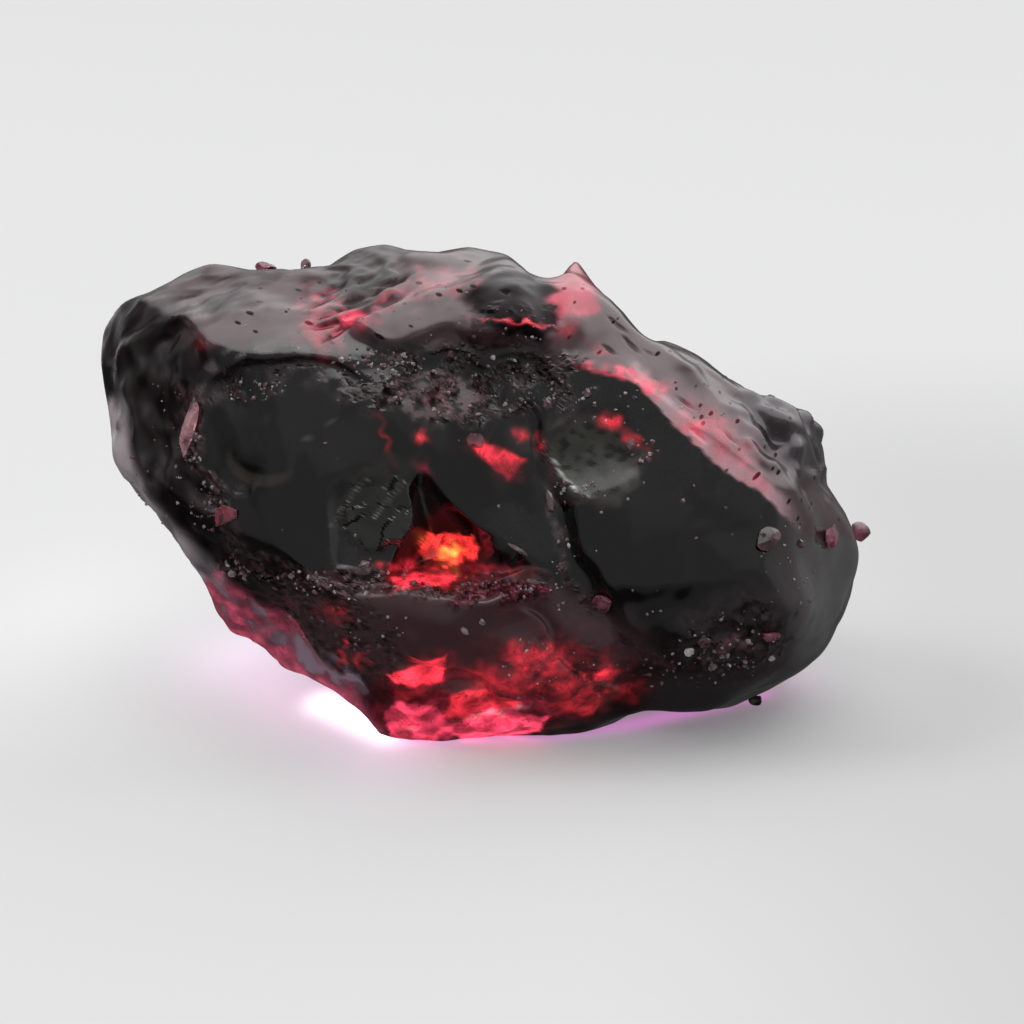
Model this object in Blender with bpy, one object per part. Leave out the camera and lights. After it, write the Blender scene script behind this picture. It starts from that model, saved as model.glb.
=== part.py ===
"""A rough ruby: one broken lump of crystal, with small chips of the same stone clinging to it.

The stone is worked out in a frame of its own, in millimetres: u to the right, v up and w
out of its broad front, with the middle of the lump at nought. That frame leans back by LEAN
before the base is cut level. World metres follow: +X right, +Z up, the front towards -Y.
"""

import bmesh
import bpy
import numpy as np
from mathutils import Vector
from mathutils.bvhtree import BVHTree

MM = 0.001
LEAN = np.radians(15.0)
BASE = -16.3                # height of the level base below the middle, mm
HALF_DEPTH = 20.0           # how far the lump swells before its faces cut it, mm
CLEARANCE = 0.3             # gap left under each chip, mm
TRIANGLES = 9000            # budget of the stone

# The outline of the lump, seen square on to its front: u, v.
OUTLINE = [
    (29.8, -3.6), (29.8, -6.8), (28.9, -9.9), (27.3, -12.1), (25.1, -13.6), (23.0, -15.0),
    (20.2, -16.4), (17.6, -16.7), (14.6, -15.9), (12.4, -16.8), (10.0, -17.8), (6.0, -18.6),
    (2.0, -19.0), (-2.0, -19.3), (-5.0, -19.6), (-7.2, -19.2), (-8.0, -17.8), (-8.1, -16.2),
    (-8.9, -15.6), (-11.1, -15.1), (-13.4, -13.7), (-15.1, -13.1), (-16.9, -11.4),
    (-19.1, -10.5), (-20.6, -8.8), (-21.4, -6.9), (-22.0, -5.5), (-22.5, -3.7), (-24.3, -1.7),
    (-26.4, 0.2), (-28.4, 3.2), (-29.3, 7.6), (-29.8, 11.2), (-29.7, 13.6), (-28.2, 15.6),
    (-25.3, 16.5), (-23.3, 17.9), (-21.0, 18.8), (-17.6, 18.2), (-14.0, 17.6), (-12.2, 18.4),
    (-9.7, 20.0), (-7.2, 20.4), (-4.5, 19.6), (-0.5, 20.3), (2.3, 19.5), (4.2, 17.6),
    (5.2, 16.3), (6.4, 16.9), (7.7, 19.1), (9.0, 17.6), (10.6, 15.7), (12.2, 13.6), (13.5, 12.2),
    (14.7, 12.7), (17.0, 11.5), (19.4, 9.7), (20.3, 8.6), (21.0, 7.8), (23.6, 7.7), (25.9, 7.3),
    (27.0, 5.8), (27.5, 3.2), (27.8, 1.0), (29.2, -1.2),
]

# Broad faces: a point u, v, the depth there, and the slopes along u and along v.
FRONT_FACES = [
    (0.0, 3.0, 14.0, 0.0, -0.10),
    (-17.0, 3.0, 13.2, 0.42, -0.05),
    (-24.0, 5.0, 9.0, 1.15, -0.25),
    (-15.0, 11.0, 12.8, 0.12, -1.05),
    (-18.0, 16.0, 5.0, 0.25, -2.4),
    (-2.0, 13.0, 12.8, 0.03, -1.12),
    (-2.0, 19.0, 6.6, 0.0, -2.4),
    (16.4, 4.2, 15.4, -0.64, -0.98),
    (8.0, 11.5, 12.5, -0.25, -0.95),
    (27.0, -6.0, 9.2, -1.7, -0.1),
    (19.0, -13.6, 10.6, -0.15, 1.5),
    (-2.0, -9.0, 14.2, -0.04, 0.50),
    (-3.0, -16.0, 10.4, 0.05, 1.3),
    (-13.5, -6.5, 12.4, 0.95, 1.16),
]
BACK_FACES = [
    (0.0, 2.0, 17.0, 0.06, -0.05),
    (-13.0, 6.0, 15.0, 0.55, -0.15),
    (-24.0, 7.0, 8.0, 1.5, 0.0),
    (-6.0, 14.0, 10.0, 0.15, -1.3),
    (-18.0, 14.5, 7.0, 0.5, -1.8),
    (10.0, 9.0, 12.5, -0.55, -1.0),
    (20.0, -2.0, 12.5, -1.0, -0.35),
    (27.0, -5.0, 6.5, -2.0, 0.0),
    (4.0, -11.0, 15.0, -0.1, 0.75),
    (-12.0, -8.0, 11.5, 0.8, 1.0),
    (18.0, -13.0, 10.5, -0.5, 1.1),
]

# Swellings: middle u, v, half width, half height, turn in degrees, rise, and how boxy.
FRONT_SWELLS = [
    (-12.8, 0.6, 8.0, 7.6, 20, 1.2, 2),      # rounded left mass
    (17.0, -6.4, 10.5, 7.5, -35, 1.5, 2),    # great smooth right mass
    (-1.0, 15.0, 8.0, 4.4, 4, 0.4, 2),       # crown
    (2.9, 15.2, 3.4, 3.2, -20, 2.8, 1),      # knob at its right end
    (-9.4, 15.4, 2.6, 1.8, 15, 0.4, 1),
    (-17.6, 12.6, 5.6, 2.2, 12, 0.6, 1),
    (24.4, 5.2, 2.8, 2.8, 0, 1.8, 1),        # knob at the right of the skyline
    (16.6, 10.6, 3.4, 1.6, -35, 1.2, 1),
    (7.9, 16.6, 2.0, 2.4, -30, 1.6, 1),      # peak
    (-26.6, 6.0, 1.8, 6.0, 10, 1.0, 1),      # folds of the left shoulder
    (-24.6, 13.8, 3.4, 1.5, 25, 1.2, 1),
    (-20.4, 16.4, 3.0, 1.1, 5, 1.0, 1),
    (1.2, -10.4, 9.6, 3.2, -6, 1.1, 3),      # lower block
    (-9.6, -9.4, 4.0, 2.2, -20, 0.7, 1),
    (24.0, -10.6, 4.4, 3.6, 20, 0.9, 1),
    (-6.0, -17.4, 3.2, 2.8, 0, 1.8, 1),      # foot
]
BACK_SWELLS = [
    (-9.0, -1.0, 9.0, 7.0, 25, 1.6, 3),
    (12.0, 1.0, 8.0, 9.0, -30, 1.5, 3),
    (-20.0, 8.0, 5.0, 5.0, 0, 1.0, 1),
]

# Ledges: depth lost across the line, width of the step, reach of the loss, the side that
# loses it (1: right of the line's run, -1: left), and the line.
FRONT_LEDGES = [
    (1.8, 1.5, 7.5, -1, [(-17.0, -5.2), (-19.6, -1.6), (-21.2, 1.6), (-22.0, 5.6), (-21.4, 9.0)]),
    (1.3, 1.9, 7.5, 1, [(-12.6, 13.4), (-7.4, 12.4), (-2.0, 12.6), (1.8, 13.4), (6.4, 12.0)]),
    (0.9, 0.7, 6.0, 1, [(-21.4, 8.0), (-19.0, 9.8), (-14.2, 11.0), (-11.0, 9.8), (-8.0, 8.6)]),
    (1.5, 1.6, 8.0, 1, [(2.6, 8.8), (5.4, 4.4), (7.0, 0.0), (8.6, -5.0), (9.9, -9.0),
                        (13.4, -12.6), (17.4, -15.0)]),
    (-1.8, 1.4, 10.0, 1, [(-19.0, -5.4), (-14.8, -5.8), (-8.0, -6.9), (-4.4, -6.4),
                          (1.6, -6.8), (6.2, -8.4)]),
    (0.9, 0.7, 6.0, 1, [(-24.6, -0.2), (-20.6, -4.0), (-17.0, -7.4), (-13.0, -11.6),
                        (-8.4, -14.6)]),
    (1.2, 1.3, 5.0, -1, [(-29.4, 9.0), (-27.2, 12.6), (-23.4, 14.6), (-18.4, 14.6),
                         (-13.0, 15.4)]),
    (0.6, 1.6, 4.0, -1, [(-28.6, 2.0), (-26.6, 7.0), (-24.6, 10.8), (-21.6, 12.4)]),
    (0.5, 1.3, 3.6, -1, [(-26.4, 0.6), (-24.8, 4.6), (-23.6, 8.0)]),
    (1.0, 0.6, 5.0, 1, [(-7.6, -12.0), (-2.0, -12.4), (1.6, -14.4), (1.8, -17.0)]),
    (0.8, 0.6, 4.0, -1, [(3.6, -9.0), (6.0, -12.0), (9.6, -14.6), (12.8, -15.8)]),
    (1.5, 1.1, 5.0, -1, [(13.6, 12.6), (17.6, 9.4), (20.8, 6.2), (23.2, 2.6), (26.0, -2.0)]),
]
BACK_LEDGES = [
    (1.8, 1.2, 8.0, 1, [(-16.0, 13.0), (-9.0, 9.0), (-1.0, 7.0), (4.0, 9.0), (11.0, 6.6)]),
    (1.5, 0.9, 7.0, -1, [(1.0, 7.0), (2.6, 0.0), (0.0, -7.0), (3.0, -14.0)]),
    (1.2, 0.8, 6.0, 1, [(-22.0, 2.0), (-15.0, -3.0), (-8.0, -9.0), (-6.0, -14.0)]),
    (1.0, 0.8, 5.0, 1, [(12.0, -8.0), (18.0, -5.0), (24.0, -6.0)]),
]

# Shell-like breaks: middle u, v, half width, half height, turn, depth, and the direction
# of the rim that stays sharp, in degrees.
FRONT_SCOOPS = [
    (-8.0, -1.4, 3.2, 4.2, -15, 1.2, 200),
    (-17.0, 2.4, 2.8, 1.6, 35, 0.5, 250),
    (9.6, 4.0, 4.2, 3.4, 0, 1.0, 215),
    (21.0, -11.0, 3.6, 2.8, 20, 0.9, 160),
    (-2.6, 8.9, 4.2, 2.4, 5, 0.8, 100),
    (3.0, 9.8, 2.8, 2.0, 0, 0.5, 60),
    (-9.6, -15.0, 2.6, 1.7, -30, 0.6, 60),
    (6.4, -13.0, 3.4, 2.2, 30, 0.8, 90),
    (-24.4, -1.0, 2.4, 3.6, 35, 0.6, 20),
]
BACK_SCOOPS = [
    (-3.0, -7.0, 7.5, 6.0, 10, 3.4, 60),
    (14.0, -6.0, 5.5, 4.4, 30, 1.8, 140),
    (-17.0, 4.0, 5.0, 6.0, 0, 1.6, 10),
    (6.0, 12.0, 5.0, 3.6, -20, 1.4, 270),
]

# The three-cornered hollow in the middle of the front: apex, lower left, lower right.
HOLLOW = [(-4.2, 3.0), (-6.8, -6.6), (4.3, -5.6)]
HOLLOW_DEPTH = 4.2

# Chips: the start u, v, w and the direction du, dv, dw in which each is set down, then its
# length, width and thickness in mm, and the turn of its length from u towards v, in degrees.
CHIPS = [
    ((-18.8, -1.3, 30.0), (0, 0, -1), (2.3, 2.0, 0.7), 30),
    ((-21.5, 5.4, 30.0), (0, 0, -1), (5.8, 1.5, 1.0), 94),
    ((-16.7, 30.0, 1.0), (0, -1, 0), (1.7, 1.1, 0.9), 0),
    ((-13.3, 30.0, 1.5), (0, -1, 0), (1.4, 1.3, 1.3), 20),
    ((6.5, 0.4, 30.0), (0, 0, -1), (2.0, 1.2, 0.6), 70),
    ((10.0, -7.8, 30.0), (0, 0, -1), (2.3, 1.7, 0.9), -15),
    ((22.1, -2.8, 30.0), (0, 0, -1), (2.9, 1.9, 0.8), 80),
    ((27.2, -2.9, 30.0), (0, 0, -1), (2.1, 1.8, 0.9), 20),
    ((40.0, -2.8, 1.0), (-1, 0, 0), (2.9, 2.0, 1.9), 75),
    ((22.6, -10.0, 30.0), (0, 0, -1), (2.2, 1.3, 0.8), 15),
    ((17.6, -10.8, 30.0), (0, 0, -1), (1.3, 1.0, 0.6), 45),
    ((22.2, -30.0, 0.0), (0, 1, 0), (1.2, 0.8, 1.1), 0),
    ((20.6, 30.0, 1.0), (0, -1, 0), (1.5, 1.2, 1.1), 0),
    ((23.4, 30.0, 1.0), (0, -1, 0), (1.3, 1.1, 0.7), 15),
    ((3.2, -3.6, 30.0), (0, 0, -1), (2.0, 0.8, 0.5), -35),
]


def lower(a, b, soft):
    """The lesser of two depths, rounded over where they meet."""
    return (a + b - np.sqrt((a - b) ** 2 + soft * soft)) / 2


def rise(x):
    """An S-shaped step from 0 to 1 as x goes from 0 to 1."""
    t = np.clip(x, 0, 1)
    return t * t * (3 - 2 * t)


def waves(p, length, seed):
    """An uneven swell of about unit size: 26 sine waves of roughly this length, each its own way."""
    rng = np.random.default_rng(seed)
    way = rng.normal(size=(26, 3))
    way = way / np.linalg.norm(way, axis=1)[:, None]
    way = way * (2 * np.pi / length) * rng.uniform(0.6, 1.5, (26, 1))
    start = rng.uniform(0, 2 * np.pi, 26)
    return sum(np.sin(p @ k + s) for k, s in zip(way, start)) / np.sqrt(13)


def outline_radius(angle, waves_kept):
    """Distance from the middle to the outline, with only its broader waves kept."""
    points = np.array(OUTLINE)
    around = np.arctan2(points[:, 1], points[:, 0]) % (2 * np.pi)
    order = np.argsort(around)
    around = around[order]
    radius = np.hypot(*points.T)[order]
    grid = np.linspace(0, 2 * np.pi, 1440, endpoint=False)
    start = np.r_[around[-1] - 2 * np.pi, around, around[0] + 2 * np.pi]
    ring = np.interp(grid, start, np.r_[radius[-1], radius, radius[0]])
    parts = np.fft.rfft(ring)
    parts = parts * np.exp(-(np.arange(len(parts)) / waves_kept) ** 2)
    ring = np.fft.irfft(parts, len(grid))
    return np.interp(angle % (2 * np.pi), np.r_[grid, 2 * np.pi], np.r_[ring, ring[0]])


def face_depth(u, v, faces, soft):
    """Depth of the broad faces: the least of their planes."""
    depth = None
    for u0, v0, w0, along_u, along_v in faces:
        plane = w0 + along_u * (u - u0) + along_v * (v - v0)
        depth = plane if depth is None else lower(depth, plane, soft)
    return depth


def oval(u, v, u0, v0, half_u, half_v, turn):
    """Distance from the middle of a turned oval, 1 on its rim."""
    a = np.radians(turn)
    along = ((u - u0) * np.cos(a) + (v - v0) * np.sin(a)) / half_u
    across = (-(u - u0) * np.sin(a) + (v - v0) * np.cos(a)) / half_v
    return np.hypot(along, across)


def swell(u, v, u0, v0, half_u, half_v, turn, height, boxy):
    """A rounded swelling; a boxy one has a flatter top and steeper flanks."""
    r = oval(u, v, u0, v0, half_u, half_v, turn)
    return height * np.exp(-(r ** (2 * boxy)) * (0.7 if boxy > 1 else 1.0))


def scoop(u, v, u0, v0, half_u, half_v, turn, depth, keen):
    """A shell-like break, deepest towards its sharp rim."""
    r = oval(u, v, u0, v0, half_u, half_v, turn)
    k = np.radians(keen)
    lean = ((u - u0) * np.cos(k) + (v - v0) * np.sin(k)) / max(half_u, half_v)
    return -depth * np.maximum(1 - r * r, 0) * np.clip(0.75 + 0.9 * lean, 0, 2)


def rounded_line(line):
    """The line with its corners cut twice."""
    line = np.array(line, float)
    for _ in range(2):
        near = 0.75 * line[:-1] + 0.25 * line[1:]
        far = 0.25 * line[:-1] + 0.75 * line[1:]
        between = np.stack([near, far], 1).reshape(-1, 2)
        line = np.r_[line[:1], between[1:-1], line[-1:]]
    return line


def ledge(u, v, drop, step, reach, hand, line):
    """A step along a line that fades out with distance and towards the line's ends."""
    line = rounded_line(line)
    spans = np.hypot(*np.diff(line, axis=0).T)
    length = np.r_[0, np.cumsum(spans)]
    best = np.full(u.shape, 1e9)
    side = np.zeros(u.shape)
    along = np.zeros(u.shape)
    for k, (a, b) in enumerate(zip(line[:-1], line[1:])):
        ab = b - a
        t = np.clip(((u - a[0]) * ab[0] + (v - a[1]) * ab[1]) / (ab @ ab), 0, 1)
        gap = np.hypot(u - a[0] - t * ab[0], v - a[1] - t * ab[1])
        near = gap < best
        best = np.where(near, gap, best)
        side = np.where(near, np.sign(ab[1] * (u - a[0]) - ab[0] * (v - a[1])), side)
        along = np.where(near, length[k] + t * spans[k], along)
    part = along / length[-1]
    ends = rise(part / 0.18) * rise((1 - part) / 0.18)
    off = best * side * hand
    return -drop * ends * rise(off / step + 0.5) * np.clip(1 - off / reach, 0, 1) ** 2


def hollow(u, v):
    """The three-cornered hollow: depth grows from its two edges and its sill."""
    def inside(a, b, steep):
        span = np.hypot(b[0] - a[0], b[1] - a[1])
        cross = (b[0] - a[0]) * (v - a[1]) - (b[1] - a[1]) * (u - a[0])
        return steep * cross / span
    apex, left, right = HOLLOW
    walls = np.minimum(inside(apex, left, 2.2), inside(right, apex, 1.0))
    return -np.clip(np.minimum(walls, inside(left, right, 2.6)), 0, HOLLOW_DEPTH)


def relief(u, v, swells, ledges, scoops):
    """All named relief of one side, its lines and rims made to wander as broken ones do."""
    p = np.stack([u, v, 0 * u], 1)
    au = u + 0.42 * waves(p, 8.0, 1) + 0.07 * waves(p, 2.6, 2)
    av = v + 0.42 * waves(p, 8.0, 3) + 0.07 * waves(p, 2.6, 4)
    depth = sum(swell(au, av, *one) for one in swells)
    depth = depth + sum(ledge(au, av, *one) for one in ledges)
    depth = depth + sum(scoop(au, av, *one) for one in scoops)
    return depth, au, av


def stone_points(way):
    """Points u, v, w of the lump, one for each unit direction."""
    angle = np.arctan2(way[:, 1], way[:, 0])
    flat = np.hypot(way[:, 0], way[:, 1])
    cap = HALF_DEPTH * np.abs(way[:, 2]) ** 0.68
    broad = outline_radius(angle, 7)
    middle = outline_radius(angle, 20)
    fine = outline_radius(angle, 110)
    radius = broad + (middle - broad) * rise((12 - cap) / 8) + (fine - middle) * rise((6 - cap) / 4)
    u = radius * flat * np.cos(angle)
    v = radius * flat * np.sin(angle)
    fade = rise(cap / 7)
    rough, au, av = relief(u, v, FRONT_SWELLS, FRONT_LEDGES, FRONT_SCOOPS)
    front = lower(cap, face_depth(u, v, FRONT_FACES, 0.25), 0.7) + (rough + hollow(au, av)) * fade
    rough, au, av = relief(u, v, BACK_SWELLS, BACK_LEDGES, BACK_SCOOPS)
    back = lower(cap, face_depth(u, v, BACK_FACES, 0.5), 0.7) + rough * fade
    front = -lower(-front, -0.30 * cap, 0.35 * cap)
    back = -lower(-back, -0.30 * cap, 0.35 * cap)
    p = np.stack([u, v, np.where(way[:, 2] >= 0, front, -back)], 1)
    out = p / np.linalg.norm(p, axis=1)[:, None]
    lumps = 0.26 * waves(p, 10.0, 11) + 0.07 * waves(p, 4.2, 12)
    return p + out * (lumps * (0.3 + 0.7 * fade))[:, None]


def to_world(p):
    """From the stone's own leaning frame to world metres, with the base at nought."""
    p = np.atleast_2d(np.asarray(p, float))
    y = p[:, 1] * np.sin(LEAN) - p[:, 2] * np.cos(LEAN)
    z = p[:, 1] * np.cos(LEAN) + p[:, 2] * np.sin(LEAN) - BASE
    return np.stack([p[:, 0], y, z], 1) * MM


def turn_to_world(way):
    """A direction from the stone's own frame to the world's."""
    u, v, w = way
    turned = (u, v * np.sin(LEAN) - w * np.cos(LEAN), v * np.cos(LEAN) + w * np.sin(LEAN))
    return Vector(turned).normalized()


def add_object(name, bm, material):
    """Puts a finished mesh into the scene under its name."""
    bmesh.ops.recalc_face_normals(bm, faces=bm.faces)
    mesh = bpy.data.meshes.new(name)
    bm.to_mesh(mesh)
    bm.free()
    mesh.materials.append(material)
    obj = bpy.data.objects.new(name, mesh)
    bpy.context.scene.collection.objects.link(obj)
    return obj


def make_material(name, color, roughness):
    """See-through crystal of one colour."""
    material = bpy.data.materials.new(name)
    material.use_nodes = True
    shader = material.node_tree.nodes["Principled BSDF"]
    shader.inputs["Base Color"].default_value = (*color, 1)
    shader.inputs["Roughness"].default_value = roughness
    shader.inputs["IOR"].default_value = 1.77
    return material


def make_stone(material):
    """The lump: a fine ball pushed out to the stone's form, cut level, then thinned."""
    bm = bmesh.new()
    bmesh.ops.create_icosphere(bm, subdivisions=7, radius=1.0)
    way = np.array([vert.co[:] for vert in bm.verts])
    way = way / np.linalg.norm(way, axis=1)[:, None]
    for vert, place in zip(bm.verts, to_world(stone_points(way))):
        vert.co = place
    geometry = bm.verts[:] + bm.edges[:] + bm.faces[:]
    bmesh.ops.bisect_plane(
        bm, geom=geometry, dist=1e-6, plane_co=(0, 0, 0), plane_no=(0, 0, 1), clear_inner=True
    )
    rim = [edge for edge in bm.edges if edge.is_boundary]
    bmesh.ops.edgeloop_fill(bm, edges=rim)
    bmesh.ops.triangulate(bm, faces=[face for face in bm.faces if len(face.verts) > 3])
    stone = add_object("ruby", bm, material)
    thin = stone.modifiers.new("thin", "DECIMATE")
    thin.ratio = TRIANGLES / len(stone.data.polygons)
    bpy.context.view_layer.update()
    graph = bpy.context.evaluated_depsgraph_get()
    thinned = bpy.data.meshes.new_from_object(stone.evaluated_get(graph))
    stone.modifiers.clear()
    stone.data = thinned
    for vert in thinned.vertices:
        if abs(vert.co.z) < 0.02 * MM:
            vert.co.z = 0.0
    stone.data.shade_smooth()
    stone.data.set_sharp_from_angle(angle=np.radians(38))
    return stone


def make_chip(name, start, way, size, turn, tree, material, seed):
    """One chip: the hull of scattered points, laid on the stone with a small clearance."""
    rng = np.random.default_rng(seed)
    spots = rng.normal(size=(13, 3))
    spots = spots / np.linalg.norm(spots, axis=1)[:, None]
    spots = spots * rng.uniform(0.85, 1.15, (13, 1)) * np.array(size) / 2
    origin = Vector(to_world(start)[0])
    place, normal, _, _ = tree.ray_cast(origin, turn_to_world(way))
    a = np.radians(turn)
    along = turn_to_world((np.cos(a), np.sin(a), 0))
    along = (along - normal * along.dot(normal)).normalized()
    across = normal.cross(along)
    points = [place + (along * x + across * y + normal * z) * MM for x, y, z in spots]
    for _ in range(80):
        lows = []
        for point in points:
            near, out, _, gap = tree.find_nearest(point)
            lows.append(gap if (point - near).dot(out) > 0 else -gap)
        if min(lows) >= CLEARANCE * MM:
            break
        points = [point + normal * 0.05 * MM for point in points]
    bm = bmesh.new()
    for point in points:
        bm.verts.new(point)
    hull = bmesh.ops.convex_hull(bm, input=bm.verts)
    loose = set(hull["geom_interior"]) | set(hull["geom_unused"])
    bmesh.ops.delete(bm, geom=[item for item in loose if item.is_valid], context="VERTS")
    return add_object(name, bm, material)


for old in list(bpy.data.objects):
    bpy.data.objects.remove(old, do_unlink=True)

stone_material = make_material("ruby", (0.10, 0.006, 0.02), 0.12)
chip_material = make_material("ruby_chips", (0.55, 0.16, 0.24), 0.25)
ruby = make_stone(stone_material)

look = bmesh.new()
look.from_mesh(ruby.data)
stone_tree = BVHTree.FromBMesh(look)
look.free()
for number, (start, way, size, turn) in enumerate(CHIPS, 1):
    make_chip(f"chip_{number:02d}", start, way, size, turn, stone_tree, chip_material, number)
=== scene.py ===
"""Rough ruby: the look of a dark, glassy lump of crystal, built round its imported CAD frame."""

# %% [markdown]
# ## The frame
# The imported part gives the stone's true size, its level base and the places of its loose chips.
# Everything below is built round it and in the same metres.

import bpy
import numpy as np
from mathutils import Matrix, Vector


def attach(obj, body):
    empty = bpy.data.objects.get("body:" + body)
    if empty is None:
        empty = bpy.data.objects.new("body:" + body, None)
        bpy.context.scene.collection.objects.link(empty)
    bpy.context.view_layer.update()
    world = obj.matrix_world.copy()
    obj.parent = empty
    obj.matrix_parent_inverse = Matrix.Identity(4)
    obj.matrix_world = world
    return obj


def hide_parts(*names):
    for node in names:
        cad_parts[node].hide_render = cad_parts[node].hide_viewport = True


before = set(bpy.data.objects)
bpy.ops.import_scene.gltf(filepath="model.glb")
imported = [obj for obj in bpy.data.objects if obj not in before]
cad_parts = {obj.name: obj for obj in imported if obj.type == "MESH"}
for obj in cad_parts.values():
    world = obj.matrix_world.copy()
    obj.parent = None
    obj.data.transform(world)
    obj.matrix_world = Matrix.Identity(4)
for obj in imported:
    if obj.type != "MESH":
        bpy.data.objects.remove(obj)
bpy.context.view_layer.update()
MM = 0.001
RUBY_INDEX = 1.77           # how strongly ruby bends light

# %% [markdown]
# ## The form of the lump
# A rough ruby is a grown crystal that has been broken and worn. Its broad faces are cleaved or
# pressed flat, its swellings are worn round, and fresh breaks leave ledges and shell-like scoops.
# The form is a function of a direction: each direction from the middle gives one point. It could
# be sculpted by hand, but a function can be sampled as finely as wanted and stays the same stone.

# %% Measures of the form
LEAN = np.radians(15.0)
BASE = -16.3                # height of the level base below the middle, mm
HALF_DEPTH = 20.0           # how far the lump swells before its faces cut it, mm

# The outline of the lump, seen square on to its front: u, v.
OUTLINE = [
    (29.8, -3.6), (29.8, -6.8), (28.9, -9.9), (27.3, -12.1), (25.1, -13.6), (23.0, -15.0),
    (20.2, -16.4), (17.6, -16.7), (14.6, -15.9), (12.4, -16.8), (10.0, -17.8), (6.0, -18.6),
    (2.0, -19.0), (-2.0, -19.3), (-5.0, -19.6), (-7.2, -19.2), (-8.0, -17.8), (-8.1, -16.2),
    (-8.9, -15.6), (-11.1, -15.1), (-13.4, -13.7), (-15.1, -13.1), (-16.9, -11.4),
    (-19.1, -10.5), (-20.6, -8.8), (-21.4, -6.9), (-22.0, -5.5), (-22.5, -3.7), (-24.3, -1.7),
    (-26.4, 0.2), (-28.4, 3.2), (-29.3, 7.6), (-29.8, 11.2), (-29.7, 13.6), (-28.2, 15.6),
    (-25.3, 16.5), (-23.3, 17.9), (-21.0, 18.8), (-17.6, 18.2), (-14.0, 17.6), (-12.2, 18.4),
    (-9.7, 20.0), (-7.2, 20.4), (-4.5, 19.6), (-0.5, 20.3), (2.3, 19.5), (4.2, 17.6),
    (5.2, 16.3), (6.4, 16.9), (7.7, 19.1), (9.0, 17.6), (10.6, 15.7), (12.2, 13.6), (13.5, 12.2),
    (14.7, 12.7), (17.0, 11.5), (19.4, 9.7), (20.3, 8.6), (21.0, 7.8), (23.6, 7.7), (25.9, 7.3),
    (27.0, 5.8), (27.5, 3.2), (27.8, 1.0), (29.2, -1.2),
]

# Broad faces: a point u, v, the depth there, and the slopes along u and along v.
FRONT_FACES = [
    (0.0, 3.0, 14.0, 0.0, -0.1),
    (-17.0, 3.0, 13.2, 0.42, -0.05),
    (-24.0, 5.0, 9.0, 1.15, -0.25),
    (-15.0, 11.0, 12.8, 0.12, -1.05),
    (-18.0, 16.0, 5.0, 0.25, -2.4),
    (-2.0, 13.0, 12.8, 0.03, -1.12),
    (-2.0, 19.0, 6.6, 0.0, -2.4),
    (16.4, 4.2, 15.4, -0.64, -0.98),
    (8.0, 11.5, 12.5, -0.25, -0.95),
    (27.0, -6.0, 9.2, -1.7, -0.1),
    (19.0, -13.6, 10.6, -0.15, 1.5),
    (-2.0, -9.0, 14.2, -0.04, 0.5),
    (-3.0, -16.0, 10.4, 0.05, 1.3),
    (-13.5, -6.5, 12.4, 0.95, 1.16),
]
BACK_FACES = [
    (0.0, 2.0, 17.0, 0.06, -0.05),
    (-13.0, 6.0, 15.0, 0.55, -0.15),
    (-24.0, 7.0, 8.0, 1.5, 0.0),
    (-6.0, 14.0, 10.0, 0.15, -1.3),
    (-18.0, 14.5, 7.0, 0.5, -1.8),
    (10.0, 9.0, 12.5, -0.55, -1.0),
    (20.0, -2.0, 12.5, -1.0, -0.35),
    (27.0, -5.0, 6.5, -2.0, 0.0),
    (4.0, -11.0, 15.0, -0.1, 0.75),
    (-12.0, -8.0, 11.5, 0.8, 1.0),
    (18.0, -13.0, 10.5, -0.5, 1.1),
]

# Swellings: middle u, v, half width, half height, turn in degrees, rise, and how boxy.
FRONT_SWELLS = [
    (-12.8, 0.6, 8.0, 7.6, 20, 1.2, 2),      # rounded left mass
    (17.0, -6.4, 10.5, 7.5, -35, 1.5, 2),    # great smooth right mass
    (-1.0, 15.0, 8.0, 4.4, 4, 0.4, 2),       # crown
    (2.9, 15.2, 3.4, 3.2, -20, 2.8, 1),      # knob at its right end
    (-9.4, 15.4, 2.6, 1.8, 15, 0.4, 1),
    (-17.6, 12.6, 5.6, 2.2, 12, 0.6, 1),
    (24.4, 5.2, 2.8, 2.8, 0, 1.8, 1),        # knob at the right of the skyline
    (16.6, 10.6, 3.4, 1.6, -35, 1.2, 1),
    (7.9, 16.6, 2.0, 2.4, -30, 1.6, 1),      # peak
    (-26.6, 6.0, 1.8, 6.0, 10, 1.0, 1),      # folds of the left shoulder
    (-24.6, 13.8, 3.4, 1.5, 25, 1.2, 1),
    (-20.4, 16.4, 3.0, 1.1, 5, 1.0, 1),
    (1.2, -10.4, 9.6, 3.2, -6, 1.1, 3),      # lower block
    (-9.6, -9.4, 4.0, 2.2, -20, 0.7, 1),
    (24.0, -10.6, 4.4, 3.6, 20, 0.9, 1),
    (-6.0, -17.4, 3.2, 2.8, 0, 1.8, 1),      # foot
]
BACK_SWELLS = [
    (-9.0, -1.0, 9.0, 7.0, 25, 1.6, 3),
    (12.0, 1.0, 8.0, 9.0, -30, 1.5, 3),
    (-20.0, 8.0, 5.0, 5.0, 0, 1.0, 1),
]

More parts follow.
